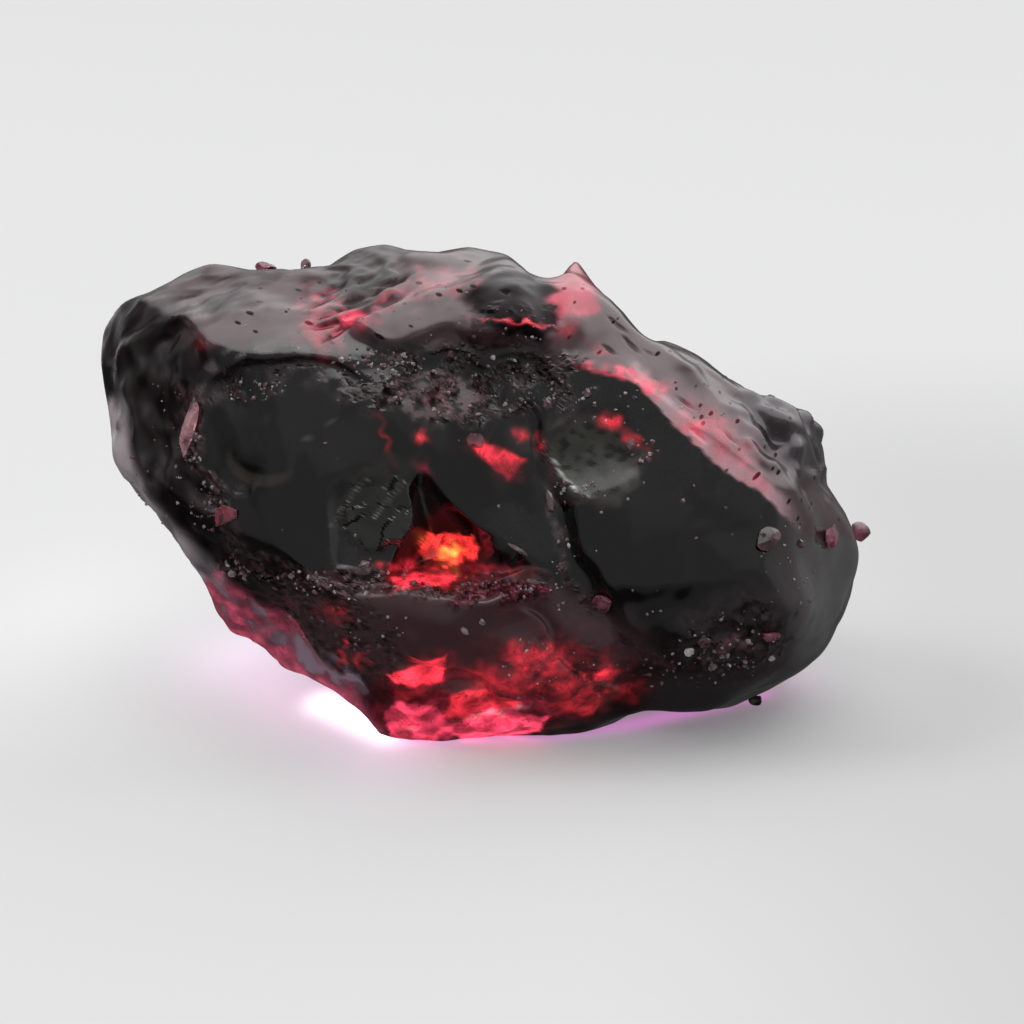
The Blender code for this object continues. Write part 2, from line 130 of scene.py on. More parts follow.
# Ledges: depth lost across the line, width of the step, reach of the loss, the side that
# loses it (1: right of the line's run, -1: left), and the line.
FRONT_LEDGES = [
    (1.8, 1.5, 7.5, -1, [(-17.0, -5.2), (-19.6, -1.6), (-21.2, 1.6), (-22.0, 5.6), (-21.4, 9.0)]),
    (1.3, 1.9, 7.5, 1, [(-12.6, 13.4), (-7.4, 12.4), (-2.0, 12.6), (1.8, 13.4), (6.4, 12.0)]),
    (0.9, 0.7, 6.0, 1, [(-21.4, 8.0), (-19.0, 9.8), (-14.2, 11.0), (-11.0, 9.8), (-8.0, 8.6)]),
    (1.5, 1.6, 8.0, 1, [(2.6, 8.8), (5.4, 4.4), (7.0, 0.0), (8.6, -5.0), (9.9, -9.0),
                        (13.4, -12.6), (17.4, -15.0)]),
    (-1.8, 1.4, 10.0, 1, [(-19.0, -5.4), (-14.8, -5.8), (-8.0, -6.9), (-4.4, -6.4),
                          (1.6, -6.8), (6.2, -8.4)]),
    (0.9, 0.7, 6.0, 1, [(-24.6, -0.2), (-20.6, -4.0), (-17.0, -7.4), (-13.0, -11.6),
                        (-8.4, -14.6)]),
    (1.2, 1.3, 5.0, -1, [(-29.4, 9.0), (-27.2, 12.6), (-23.4, 14.6), (-18.4, 14.6),
                         (-13.0, 15.4)]),
    (0.6, 1.6, 4.0, -1, [(-28.6, 2.0), (-26.6, 7.0), (-24.6, 10.8), (-21.6, 12.4)]),
    (0.5, 1.3, 3.6, -1, [(-26.4, 0.6), (-24.8, 4.6), (-23.6, 8.0)]),
    (1.0, 0.6, 5.0, 1, [(-7.6, -12.0), (-2.0, -12.4), (1.6, -14.4), (1.8, -17.0)]),
    (0.8, 0.6, 4.0, -1, [(3.6, -9.0), (6.0, -12.0), (9.6, -14.6), (12.8, -15.8)]),
    (1.5, 1.1, 5.0, -1, [(13.6, 12.6), (17.6, 9.4), (20.8, 6.2), (23.2, 2.6), (26.0, -2.0)]),
]
BACK_LEDGES = [
    (1.8, 1.2, 8.0, 1, [(-16.0, 13.0), (-9.0, 9.0), (-1.0, 7.0), (4.0, 9.0), (11.0, 6.6)]),
    (1.5, 0.9, 7.0, -1, [(1.0, 7.0), (2.6, 0.0), (0.0, -7.0), (3.0, -14.0)]),
    (1.2, 0.8, 6.0, 1, [(-22.0, 2.0), (-15.0, -3.0), (-8.0, -9.0), (-6.0, -14.0)]),
    (1.0, 0.8, 5.0, 1, [(12.0, -8.0), (18.0, -5.0), (24.0, -6.0)]),
]

# Shell-like breaks: middle u, v, half width, half height, turn, depth, and the direction
# of the rim that stays sharp, in degrees.
FRONT_SCOOPS = [
    (-8.0, -1.4, 3.2, 4.2, -15, 1.2, 200),
    (-17.0, 2.4, 2.8, 1.6, 35, 0.5, 250),
    (9.6, 4.0, 4.2, 3.4, 0, 1.0, 215),
    (21.0, -11.0, 3.6, 2.8, 20, 0.9, 160),
    (-2.6, 8.9, 4.2, 2.4, 5, 0.8, 100),
    (3.0, 9.8, 2.8, 2.0, 0, 0.5, 60),
    (-9.6, -15.0, 2.6, 1.7, -30, 0.6, 60),
    (6.4, -13.0, 3.4, 2.2, 30, 0.8, 90),
    (-24.4, -1.0, 2.4, 3.6, 35, 0.6, 20),
]
BACK_SCOOPS = [
    (-3.0, -7.0, 7.5, 6.0, 10, 3.4, 60),
    (14.0, -6.0, 5.5, 4.4, 30, 1.8, 140),
    (-17.0, 4.0, 5.0, 6.0, 0, 1.6, 10),
    (6.0, 12.0, 5.0, 3.6, -20, 1.4, 270),
]

# The three-cornered hollow in the middle of the front: apex, lower left, lower right.
HOLLOW = [(-4.2, 3.0), (-6.8, -6.6), (4.3, -5.6)]
HOLLOW_DEPTH = 4.2
print("outline: %d points, %.1f mm wide and %.1f mm high" % (len(OUTLINE), *np.ptp(OUTLINE, axis=0)))

# %% [markdown]
# ## Helpers of the form
# Planes are joined by a rounded minimum, so that their edges are worn and not knife-sharp.
# Ledges are steps along a line, and every line is made to wander, as a broken edge does.

# %% Functions of the form
def lower(a, b, soft):
    """The lesser of two depths, rounded over where they meet."""
    return (a + b - np.sqrt((a - b) ** 2 + soft * soft)) / 2


def rise(x):
    """An S-shaped step from 0 to 1 as x goes from 0 to 1."""
    t = np.clip(x, 0, 1)
    return t * t * (3 - 2 * t)


def unit(p):
    """Each row at unit length."""
    return p / np.linalg.norm(p, axis=1)[:, None]


def waves(p, length, seed):
    """An uneven swell of about unit size: 26 sine waves of roughly this length, each its own way."""
    rng = np.random.default_rng(seed)
    way = unit(rng.normal(size=(26, 3))) * (2 * np.pi / length) * rng.uniform(0.6, 1.5, (26, 1))
    start = rng.uniform(0, 2 * np.pi, 26)
    return sum(np.sin(p @ k + s) for k, s in zip(way, start)) / np.sqrt(13)


def outline_radius(angle, waves_kept):
    """Distance from the middle to the outline, with only its broader waves kept."""
    points = np.array(OUTLINE)
    around = np.arctan2(points[:, 1], points[:, 0]) % (2 * np.pi)
    order = np.argsort(around)
    around = around[order]
    radius = np.hypot(*points.T)[order]
    grid = np.linspace(0, 2 * np.pi, 1440, endpoint=False)
    start = np.r_[around[-1] - 2 * np.pi, around, around[0] + 2 * np.pi]
    ring = np.interp(grid, start, np.r_[radius[-1], radius, radius[0]])
    parts = np.fft.rfft(ring)
    parts = parts * np.exp(-(np.arange(len(parts)) / waves_kept) ** 2)
    ring = np.fft.irfft(parts, len(grid))
    return np.interp(angle % (2 * np.pi), np.r_[grid, 2 * np.pi], np.r_[ring, ring[0]])


def face_depth(u, v, faces, soft):
    """Depth of the broad faces: the least of their planes."""
    depth = None
    for u0, v0, w0, along_u, along_v in faces:
        plane = w0 + along_u * (u - u0) + along_v * (v - v0)
        depth = plane if depth is None else lower(depth, plane, soft)
    return depth


def oval(u, v, u0, v0, half_u, half_v, turn):
    """Distance from the middle of a turned oval, 1 on its rim."""
    a = np.radians(turn)
    along = ((u - u0) * np.cos(a) + (v - v0) * np.sin(a)) / half_u
    across = (-(u - u0) * np.sin(a) + (v - v0) * np.cos(a)) / half_v
    return np.hypot(along, across)


def swell(u, v, u0, v0, half_u, half_v, turn, height, boxy):
    """A rounded swelling; a boxy one has a flatter top and steeper flanks."""
    r = oval(u, v, u0, v0, half_u, half_v, turn)
    return height * np.exp(-(r ** (2 * boxy)) * (0.7 if boxy > 1 else 1.0))


def scoop(u, v, u0, v0, half_u, half_v, turn, depth, keen):
    """A shell-like break, deepest towards its sharp rim."""
    r = oval(u, v, u0, v0, half_u, half_v, turn)
    k = np.radians(keen)
    lean = ((u - u0) * np.cos(k) + (v - v0) * np.sin(k)) / max(half_u, half_v)
    return -depth * np.maximum(1 - r * r, 0) * np.clip(0.75 + 0.9 * lean, 0, 2)


def rounded_line(line):
    """The line with its corners cut twice."""
    line = np.array(line, float)
    for _ in range(2):
        near = 0.75 * line[:-1] + 0.25 * line[1:]
        far = 0.25 * line[:-1] + 0.75 * line[1:]
        between = np.stack([near, far], 1).reshape(-1, 2)
        line = np.r_[line[:1], between[1:-1], line[-1:]]
    return line


def ledge(u, v, drop, step, reach, hand, line):
    """A step along a line that fades out with distance and towards the line's ends."""
    line = rounded_line(line)
    spans = np.hypot(*np.diff(line, axis=0).T)
    length = np.r_[0, np.cumsum(spans)]
    best = np.full(u.shape, 1e9)
    side = np.zeros(u.shape)
    along = np.zeros(u.shape)
    for k, (a, b) in enumerate(zip(line[:-1], line[1:])):
        ab = b - a
        t = np.clip(((u - a[0]) * ab[0] + (v - a[1]) * ab[1]) / (ab @ ab), 0, 1)
        gap = np.hypot(u - a[0] - t * ab[0], v - a[1] - t * ab[1])
        near = gap < best
        best = np.where(near, gap, best)
        side = np.where(near, np.sign(ab[1] * (u - a[0]) - ab[0] * (v - a[1])), side)
        along = np.where(near, length[k] + t * spans[k], along)
    part = along / length[-1]
    ends = rise(part / 0.18) * rise((1 - part) / 0.18)
    off = best * side * hand
    return -drop * ends * rise(off / step + 0.5) * np.clip(1 - off / reach, 0, 1) ** 2


def hollow(u, v):
    """The three-cornered hollow: depth grows from its two edges and its sill."""
    def inside(a, b, steep):
        span = np.hypot(b[0] - a[0], b[1] - a[1])
        cross = (b[0] - a[0]) * (v - a[1]) - (b[1] - a[1]) * (u - a[0])
        return steep * cross / span
    apex, left, right = HOLLOW
    walls = np.minimum(inside(apex, left, 2.2), inside(right, apex, 1.0))
    return -np.clip(np.minimum(walls, inside(left, right, 2.6)), 0, HOLLOW_DEPTH)


def relief(u, v, swells, ledges, scoops):
    """All named relief of one side, its lines and rims made to wander as broken ones do."""
    p = np.stack([u, v, 0 * u], 1)
    au = u + 0.42 * waves(p, 8.0, 1) + 0.07 * waves(p, 2.6, 2)
    av = v + 0.42 * waves(p, 8.0, 3) + 0.07 * waves(p, 2.6, 4)
    depth = sum(swell(au, av, *one) for one in swells)
    depth = depth + sum(ledge(au, av, *one) for one in ledges)
    depth = depth + sum(scoop(au, av, *one) for one in scoops)
    return depth, au, av


def stone_points(way):
    """Points u, v, w of the lump, one for each unit direction."""
    angle = np.arctan2(way[:, 1], way[:, 0])
    flat = np.hypot(way[:, 0], way[:, 1])
    cap = HALF_DEPTH * np.abs(way[:, 2]) ** 0.68
    broad = outline_radius(angle, 7)
    middle = outline_radius(angle, 20)
    fine = outline_radius(angle, 110)
    radius = broad + (middle - broad) * rise((12 - cap) / 8) + (fine - middle) * rise((6 - cap) / 4)
    u = radius * flat * np.cos(angle)
    v = radius * flat * np.sin(angle)
    fade = rise(cap / 7)
    rough, au, av = relief(u, v, FRONT_SWELLS, FRONT_LEDGES, FRONT_SCOOPS)
    front = lower(cap, face_depth(u, v, FRONT_FACES, 0.25), 0.7) + (rough + hollow(au, av)) * fade
    rough, au, av = relief(u, v, BACK_SWELLS, BACK_LEDGES, BACK_SCOOPS)
    back = lower(cap, face_depth(u, v, BACK_FACES, 0.5), 0.7) + rough * fade
    front = -lower(-front, -0.3 * cap, 0.35 * cap)
    back = -lower(-back, -0.3 * cap, 0.35 * cap)
    p = np.stack([u, v, np.where(way[:, 2] >= 0, front, -back)], 1)
    lumps = 0.26 * waves(p, 10.0, 11) + 0.07 * waves(p, 4.2, 12)
    return p + unit(p) * (lumps * (0.3 + 0.7 * fade))[:, None]


def to_world(p):
    """From the stone's own leaning frame to world metres, with the base at nought."""
    p = np.atleast_2d(np.asarray(p, float))
    y = p[:, 1] * np.sin(LEAN) - p[:, 2] * np.cos(LEAN)
    z = p[:, 1] * np.cos(LEAN) + p[:, 2] * np.sin(LEAN) - BASE
    return np.stack([p[:, 0], y, z], 1) * MM


# %% [markdown]
# ## A closed grid round the stone
# A ball of six square grids covers all directions evenly and has no poles, so the mesh is closed
# and its cells are about the same size on every side. The grid is then leaned toward the broad
# front, which carries the finest detail and so gets the finest cells.

# %% Cube ball
def grid_quads(n):
    """The quads of a square grid of n by n points, numbered row by row."""
    grid = np.arange(n * n).reshape(n, n)
    return np.stack([grid[:-1, :-1], grid[1:, :-1], grid[1:, 1:], grid[:-1, 1:]], -1).reshape(-1, 4)


def copied_quads(quads, points, copies):
    """The quads of several copies of a mesh in one, each copy with this many points."""
    return (quads + points * np.arange(copies)[:, None, None]).reshape(-1, 4)


def cube_ball(n, lean=0.0):
    """Unit directions on six n by n grids of equal angles, drawn toward +w by lean, and their quads."""
    t = np.tan(np.linspace(-np.pi / 4, np.pi / 4, n + 1))
    a, b = np.meshgrid(t, t, indexing="ij")
    one = np.ones_like(a)
    sides = [(one, a, b), (-one, -a, b), (-a, one, b), (a, -one, b), (-b, a, one), (b, a, -one)]
    way = unit(np.concatenate([np.stack([c.ravel() for c in side], 1) for side in sides]))
    quads = copied_quads(grid_quads(n + 1), (n + 1) ** 2, len(sides))
    key = np.round(way * 1e6).astype(np.int64)
    _, first, back = np.unique(key, axis=0, return_index=True, return_inverse=True)
    way = way[first] + np.array([0, 0, lean])
    quads = back.reshape(-1)[quads]
    middle = way[quads].mean(1)
    cross = np.cross(way[quads[:, 2]] - way[quads[:, 0]], way[quads[:, 3]] - way[quads[:, 1]])
    quads = np.where(((cross * middle).sum(1) < 0)[:, None], quads[:, ::-1], quads)
    return unit(way), quads


def point_normals(p, quads):
    """Unit normals at the points, from the cross products of the quads' diagonals."""
    cross = np.cross(p[quads[:, 2]] - p[quads[:, 0]], p[quads[:, 3]] - p[quads[:, 1]])
    total = np.zeros_like(p)
    for corner in range(4):
        np.add.at(total, quads[:, corner], cross)
    return total / np.maximum(np.linalg.norm(total, axis=1), 1e-12)[:, None]


GRID = 128
way, quads = cube_ball(GRID, 0.35)
local = stone_points(way)
normal = point_normals(local, quads)
u, v, w = local.T
front = rise(w / 3 + 0.5)
broad = rise((w + 9 + 2 * waves(local, 5.0, 51)) / 9)      # the front and a ragged strip of the sides
fray_u, fray_v = waves(local, 1.3, 54), waves(local, 1.3, 55)
wander_u = u + 0.3 * waves(local, 3.0, 52) + 0.12 * fray_u     # rims that wander widely,
wander_v = v + 0.3 * waves(local, 3.0, 53) + 0.12 * fray_v
frayed_u, frayed_v = u + 0.16 * fray_u, v + 0.16 * fray_v      # rims that are ragged,
keen_u, keen_v = u + 0.064 * fray_u, v + 0.064 * fray_v        # and nearly sharp ones
print("stone grid:", len(local), "points,", 2 * len(quads), "triangles")

# %% [markdown]
# ## Zones of the skin
# Up close the faces differ. The great right mass is smooth as glass, the band under the crown and
# the seam over the lower block are crushed to small shards, and the left shoulder is drawn into
# folds. Ovals and seams in the stone's own frame mark where each kind of skin lies.

# %% Ovals and seams
def spot(u0, v0, half_u, half_v, turn=0, soft=0.6):
    """1 inside a turned oval of the front, falling to 0 over the soft share beyond its rim."""
    r = oval(wander_u, wander_v, u0, v0, half_u, half_v, turn)
    return rise((1 + soft - r) / soft) * front


def seam(width, line, calm=False):
    """1 to half this width off a line of the front, 0 past one and a half; a calm line is not frayed."""
    return rise(1.5 - reach_of(line, calm) / width) * front


def reach_of(line, calm=False):
    """Distance of each point from the rounded line, seen square to the front."""
    x, y = (u, v) if calm else (wander_u, wander_v)
    return near_line(x, y, rounded_line(line))


def near_line(x, y, line):
    """Distance from a broken line: the least of the distances from its spans."""
    best = np.full(x.shape, 1e9)
    for a, b in zip(line[:-1], line[1:]):
        ab = np.subtract(b, a)
        t = np.clip(((x - a[0]) * ab[0] + (y - a[1]) * ab[1]) / (ab @ ab), 0, 1)
        best = np.minimum(best, np.hypot(x - a[0] - t * ab[0], y - a[1] - t * ab[1]))
    return best


def bell(u0, v0, half_u, half_v, turn=0):
    """A soft oval, 1 in the middle and a fifth of that on its rim."""
    return np.exp(-1.6 * oval(frayed_u, frayed_v, u0, v0, half_u, half_v, turn) ** 2) * front


def facet(*corners):
    """1 inside a flat-sided outline of the front, given clockwise, with a narrow soft edge."""
    inside = np.full(u.shape, 1e9)
    for (u0, v0), (u1, v1) in zip(corners, corners[1:] + corners[:1]):
        cross = (keen_u - u0) * (v1 - v0) - (keen_v - v0) * (u1 - u0)
        inside = np.minimum(inside, cross / np.hypot(u1 - u0, v1 - v0))
    return rise(inside / 0.4 + 0.5) * front


def mottle(length, seed, cover):
    """Uneven patches of about this length over this share of the surface, with soft edges."""
    return rise(waves(local, length, seed) * 0.9 + cover)


# %% Where each skin lies
under_crown = spot(-0.6, 8.8, 7.6, 2.4, 2, 0.5)
crown_end = spot(2.6, 13.4, 3.8, 1.9, 14, 0.4)
brown_heart = spot(-3.0, 7.8, 2.5, 1.4, 5)
ledge_seam = seam(1.0, [(-19.4, -4.8), (-14.8, -6.0), (-9.3, -6.3), (-4.0, -6.7), (0.5, -6.9), (5.4, -6.7)])
ledge_pink = spot(1.7, -6.7, 3.6, 1.0, -4)
glassy = spot(-7.2, -0.8, 2.1, 2.7, -15, 0.3)
hazy = spot(8.7, 3.2, 2.9, 2.7, -25, 0.5)
brow_grit = spot(-16.6, 9.0, 4.6, 1.0, 4, 0.8)
hazy_rim_highlight = seam(0.16, [(6.0, 2.9), (6.5, 2.0), (7.2, 1.2), (8.0, 0.6), (9.0, 0.2)], True)
end_crumble = spot(20.2, -10.6, 2.6, 1.8, 10, 1.4)
foot = bell(-0.6, -16.6, 7.4, 2.0, 6)
lower_mottle = bell(6.6, -13.2, 5.0, 2.8, -6)
lower_left = spot(-10.6, -9.6, 4.6, 2.2, -38)
lower_block = spot(0.0, -10.4, 10.0, 3.4, -4)
left_groove = seam(0.8, [(-21.6, 8.0), (-21.9, 5.4), (-21.1, 2.6), (-19.6, -0.4), (-18.4, -3.4)])
knob = spot(3.2, 15.2, 3.4, 2.2, -20, 0.5)
right_groove = seam(0.4, [(5.0, 4.4), (5.6, 2.0), (6.4, -2.0), (6.8, -5.3), (9.0, -8.4), (11.3, -11.0),
                          (14.2, -12.4)])
crushed = np.maximum.reduce([under_crown, 0.25 * crown_end, ledge_seam, 0.5 * end_crumble, 0.14 * hazy,
                             0.4 * brow_grit, 0.6 * lower_mottle, 0.6 * lower_left, 0.8 * left_groove,
                             0.5 * right_groove])
back_crushed = 0.6 * rise(waves(local, 14.0, 31) * 0.9 - 0.1) * (1 - front)
crushed = np.maximum(crushed * mottle(2.6, 61, 0.65) * (1 - foot), back_crushed)
left_outline = [(-12.0, 17.0), (-18.3, 18.4), (-20.7, 18.0), (-24.7, 16.4), (-28.4, 14.0), (-29.4, 9.0),
                (-28.6, 2.0), (-26.0, -3.0), (-21.0, -8.4)]
inward = reach_of(left_outline)
far_right = spot(25.0, 7.0, 3.6, 4.6, 20)
left_flat = spot(-14.4, 12.8, 6.6, 3.2, -10)
folded = rise((8.0 - inward) / 3.0) * rise(inward - 0.2) * front * (1 - left_flat)
print("crushed share: %.2f, folded share: %.2f" % ((crushed > 0.4).mean(), (folded > 0.4).mean()))

# %% [markdown]
# ## Fine relief
# Crushed crystal is a heap of tiny tilted planes: every point takes the tilt of its nearest
# seed. Streaks are long shallow pits torn along the crown and the right slope. Folds are waves
# that follow the left outline. All of it is pushed along the surface's own normal and stays
# within 0.6 mm, so the main form is not changed.

# %% Shards and pits
def shards(p, mask, seed, count, tilt):
    """Height over a heap of tilted planes, one for each seed scattered in the mask, nearest wins."""
    rng = np.random.default_rng(seed)
    inside = np.flatnonzero(mask > 0.15)
    seeds = p[rng.choice(inside, count, replace=False)]
    slopes = rng.normal(size=(count, 3)) * tilt
    part = p[inside]
    best = np.full(len(part), 1e9)
    height = np.zeros(len(part))
    for place, slope in zip(seeds, slopes):
        off = part - place
        gap = (off * off).sum(1)
        near = gap < best
        best = np.where(near, gap, best)
        height = np.where(near, off @ slope, height)
    whole = np.zeros(len(p))
    whole[inside] = height
    return whole * mask


def pits(seed, count, middle, spread, turn, length, width, depth):
    """Scattered long pits: each is a turned oval of its own, all roughly along one direction."""
    rng = np.random.default_rng(seed)
    dug = np.zeros(len(u))
    a = np.radians(turn)
    for _ in range(count):
        along, across = rng.uniform(-1, 1, 2) * spread
        u0 = middle[0] + along * np.cos(a) - across * np.sin(a)
        v0 = middle[1] + along * np.sin(a) + across * np.cos(a)
        size = rng.uniform(0.6, 1.3, 2)
        r = oval(u, v, u0, v0, length * size[0], width * size[1], turn + rng.normal() * 7)
        dug = np.maximum(dug, rise(1.4 - r) * rng.uniform(0.6, 1.0))
    return dug * front * depth


# %% Raise and dig
MOST_RELIEF = 0.6           # mm
crown_pits = pits(11, 14, (-8.4, 15.6), (3.2, 1.9), 27, 1.5, 0.26, 0.4)
slope_pits = pits(12, 9, (15.6, 7.6), (8.2, 1.4), -42, 0.7, 0.16, 0.15)
fold_lines = np.cos(inward * 2.5 + 0.8 * waves(local, 6.0, 43))
fine = 0.9 * shards(local, crushed, 41, 2600, 0.34)
fine += 0.6 * shards(local, glassy, 45, 8, 0.26)           # a few broad planes
fine += 0.11 * folded * fold_lines
fine += 0.22 * far_right * waves(local, 2.8, 47)
fine += 0.012 * waves(local, 1.8, 44) * (1 - folded)
dug = crown_pits + slope_pits
fine -= dug
fine = np.clip(fine, -MOST_RELIEF, MOST_RELIEF) * rise(np.abs(w) / 4)      # none at the outline
place = to_world(local + normal * fine[:, None])
place[:, 2] = np.maximum(place[:, 2], 0)                    # the base stays level
print("fine relief from %.2f to %.2f mm" % (fine.min(), fine.max()))

# %% [markdown]
# ## Colour and clearness
# A ruby this thick swallows nearly all light, so its mass looks black. Where it is crushed the
# skin turns milky and brownish, and its worn top is hazed over. Each skin is blended over the ones
# before it, in the order from the broadest to the finest.

# %% A brush
tint = np.tile([0.6, 0.3, 0.36], (len(u), 1))
clear = np.ones(len(u))
rough = np.full(len(u), 0.12)
speck = 0.55 + 0.45 * np.clip(waves(local, 0.9, 70), -1, 1)


def paint(mask, color, clearness, roughness):
    """Blends a skin of this colour, clearness and roughness in where the mask is 1."""
    global tint, clear, rough
    tint = tint + (np.array(color) - tint) * mask[:, None]
    clear = clear + (clearness - clear) * mask
    rough = rough + (roughness - rough) * mask


# %% Broad faces
skyline = [(-28.6, 13.6), (-26.0, 15.0), (-22.0, 16.2), (-18.0, 17.2), (-13.4, 16.6), (-11.0, 17.6),
           (-8.6, 19.2), (-5.6, 20.0)]
ridge = [(7.7, 9.8), (12.2, 8.7), (14.9, 5.7), (18.7, 2.1), (21.5, 0.4), (25.0, -3.0)]
above = keen_v - np.interp(keen_u, *np.transpose(ridge))
over_ridge = rise(above / 0.4) * rise((u - 5.0) / 2) * broad
# A strip just above the ridge of the right slope, painted pale further down as a reflection.
painted_slope_sheen = over_ridge * rise((2.6 - above) / 1.4) * rise((u - 11.0) / 2) * rise((25.5 - u) / 3)
top_skin = np.maximum(over_ridge, rise((wander_v - 11.0) / 1.5) * broad)
paint(front, (0.05, 0.028, 0.033), 1.0, 0.07)
paint(top_skin, (0.11, 0.045, 0.058), 0.7, 0.19)
paint(back_crushed, (0.07, 0.035, 0.04), 0.5, 0.25)
paint(lower_block, (0.072, 0.028, 0.035), 0.4, 0.2)
paint(crushed * front, (0.018, 0.010, 0.010), 0.3, 0.34)
# Painted shade: the dug pits are painted near black, and made matt further down.
paint(np.clip(dug * 4, 0, 1), (0.004, 0.003, 0.003), 0.6, 0.4)
stripes = 0.55 + 0.45 * np.cos(1.9 * inward + 1.4 * waves(local, 5.0, 43))
dark_sky = seam(2.4, skyline) * (0.35 + 0.65 * stripes)
paint(np.maximum(folded, dark_sky), (0.020, 0.009, 0.011), 0.7, 0.3)

# %% Crushed and hazy places
paint(brown_heart * speck, (0.09, 0.038, 0.042), 0.2, 0.45)
paint(ledge_seam * speck, (0.1, 0.055, 0.058), 0.2, 0.6)
paint(ledge_pink * (0.3 + 0.7 * speck), (0.13, 0.020, 0.034), 0.25, 0.4)
paint(glassy, (0.012, 0.013, 0.009), 0.5, 0.1)
paint(hazy, (0.030, 0.030, 0.022), 0.15, 0.35)
paint(hazy * mottle(0.9, 89, -0.1), (0.008, 0.008, 0.006), 0.15, 0.2)
paint(knob, (0.010, 0.006, 0.007), 0.5, 0.3)
# The crushed lower rim of the hazy facet, painted near white as a highlight for its glints.
paint(hazy_rim_highlight * speck, (0.5, 0.52, 0.48), 0.1, 0.2)

# %% Seams, rims and edges, with painted reflections, highlights, light and shade
# Painted highlights: light curved lines along the rims of the shell breaks in the glassy patch.
shell_highlights = np.maximum(seam(0.12, [(-10.8, -2.1), (-9.2, 0.6), (-7.9, 1.6)], True),
                         seam(0.1, [(-7.5, -1.4), (-6.3, 0.2), (-5.2, 1.3)], True))
paint(shell_highlights * speck, (0.16, 0.16, 0.14), 0.2, 0.3)
hollow_side = oval(u, v, -15.8, 3.5, 2.7, 1.6, -8)
crescent = rise((1.15 - oval(u, v, -16.2, 2.7, 2.5, 1.6, -12)) / 0.3)
crescent = crescent * rise((hollow_side - 0.95) / 0.25) * front
paint(crescent, (0.020, 0.019, 0.012), 0.15, 0.12)
paint(end_crumble * speck, (0.020, 0.012, 0.013), 0.3, 0.4)
paint(spot(19.8, -11.3, 1.5, 0.8) * speck, (0.12, 0.045, 0.05), 0.2, 0.4)
paint(lower_left * speck, (0.065, 0.028, 0.032), 0.3, 0.3)
paint(left_groove * speck, (0.07, 0.035, 0.042), 0.3, 0.3)
paint(right_groove * speck, (0.05, 0.016, 0.022), 0.3, 0.3)
# Painted reflection: a pale grey-lilac band along the left edge stands in for the bright table mirrored
# there.
edge_reflection = seam(1.2, [(-28.4, 7.0), (-28.2, 3.4), (-26.0, -0.6), (-23.2, -3.9), (-20.6, -6.4)], True)
paint(edge_reflection, (0.42, 0.36, 0.385), 0.2, 0.3)
right_side = rise((u - 21.5) / 5.0) * broad * (1 - over_ridge)
paint(right_side, (0.046, 0.042, 0.043), 0.2, 0.12)
lower_right = rise((-12.5 - v) / 2.5) * rise((u - 12.0) / 3.0) * front
paint(lower_right, (0.020, 0.018, 0.020), 0.2, 0.15)
# Painted light: a pale mottled strip along the lip under the left brow lightens the shade of its overhang.
brow_painted_light = seam(0.5, [(-21.6, 8.2), (-20.1, 10.2), (-17.5, 11.6), (-13.5, 11.6), (-10.8, 10.9)], True)
paint(brow_painted_light * mottle(1.6, 90, 0.4), (0.075, 0.066, 0.070), 0.1, 0.4)
# Painted reflection: the same pale band goes on along the lower left rim, mottled.
rim_reflection = seam(0.65, [(-21.0, -5.7), (-18.6, -8.1), (-15.7, -10.3), (-13.1, -12.3), (-10.7, -13.8),
                      (-8.6, -14.8)]) * (0.6 + 0.4 * mottle(3.0, 87, 0.6))
paint(rim_reflection, (0.36, 0.26, 0.33), 0.3, 0.25)
paint(far_right, (0.07, 0.058, 0.065), 0.5, 0.22)
# Painted reflection: a pale strip above the right slope's ridge, for the bright light that slope mirrors.
paint(painted_slope_sheen, (0.42, 0.28, 0.31), 0.2, 0.3)
underside = rise(10.0 - v + 0.75 * u) * rise((-u - 6.5) / 1.5) * (1 - rim_reflection)
underside = underside * rise((9.0 - w) / 3.0) * rise((w + 9.0 + 2 * waves(local, 4.0, 50)) / 7.0)
# The thin underside is painted pink, partly its own colour and partly painted light coming through it; a
# weak glow is laid on it below.
paint(underside, (0.45, 0.1, 0.16), 0.5, 0.2)
# Painted shade: the inside of the three-cornered hollow is painted near black.
inside = rise(-hollow(u, v) - 0.8) * front
paint(inside, (0.010, 0.003, 0.003), 0.3, 0.35)
print("clear share: %.2f" % (clear > 0.5).mean())

# %% [markdown]
# ## Light from within
# Where the stone is thin or cracked, light from behind comes out red. That is partly true light
# through the clear crystal, and partly a weak glow laid in those places, because a picture cannot
# follow enough rays through a stone as cracked as this one. Soft ovals stand for clouded light
# and flat-sided outlines for single planes that catch it. The brightest wins at each point.

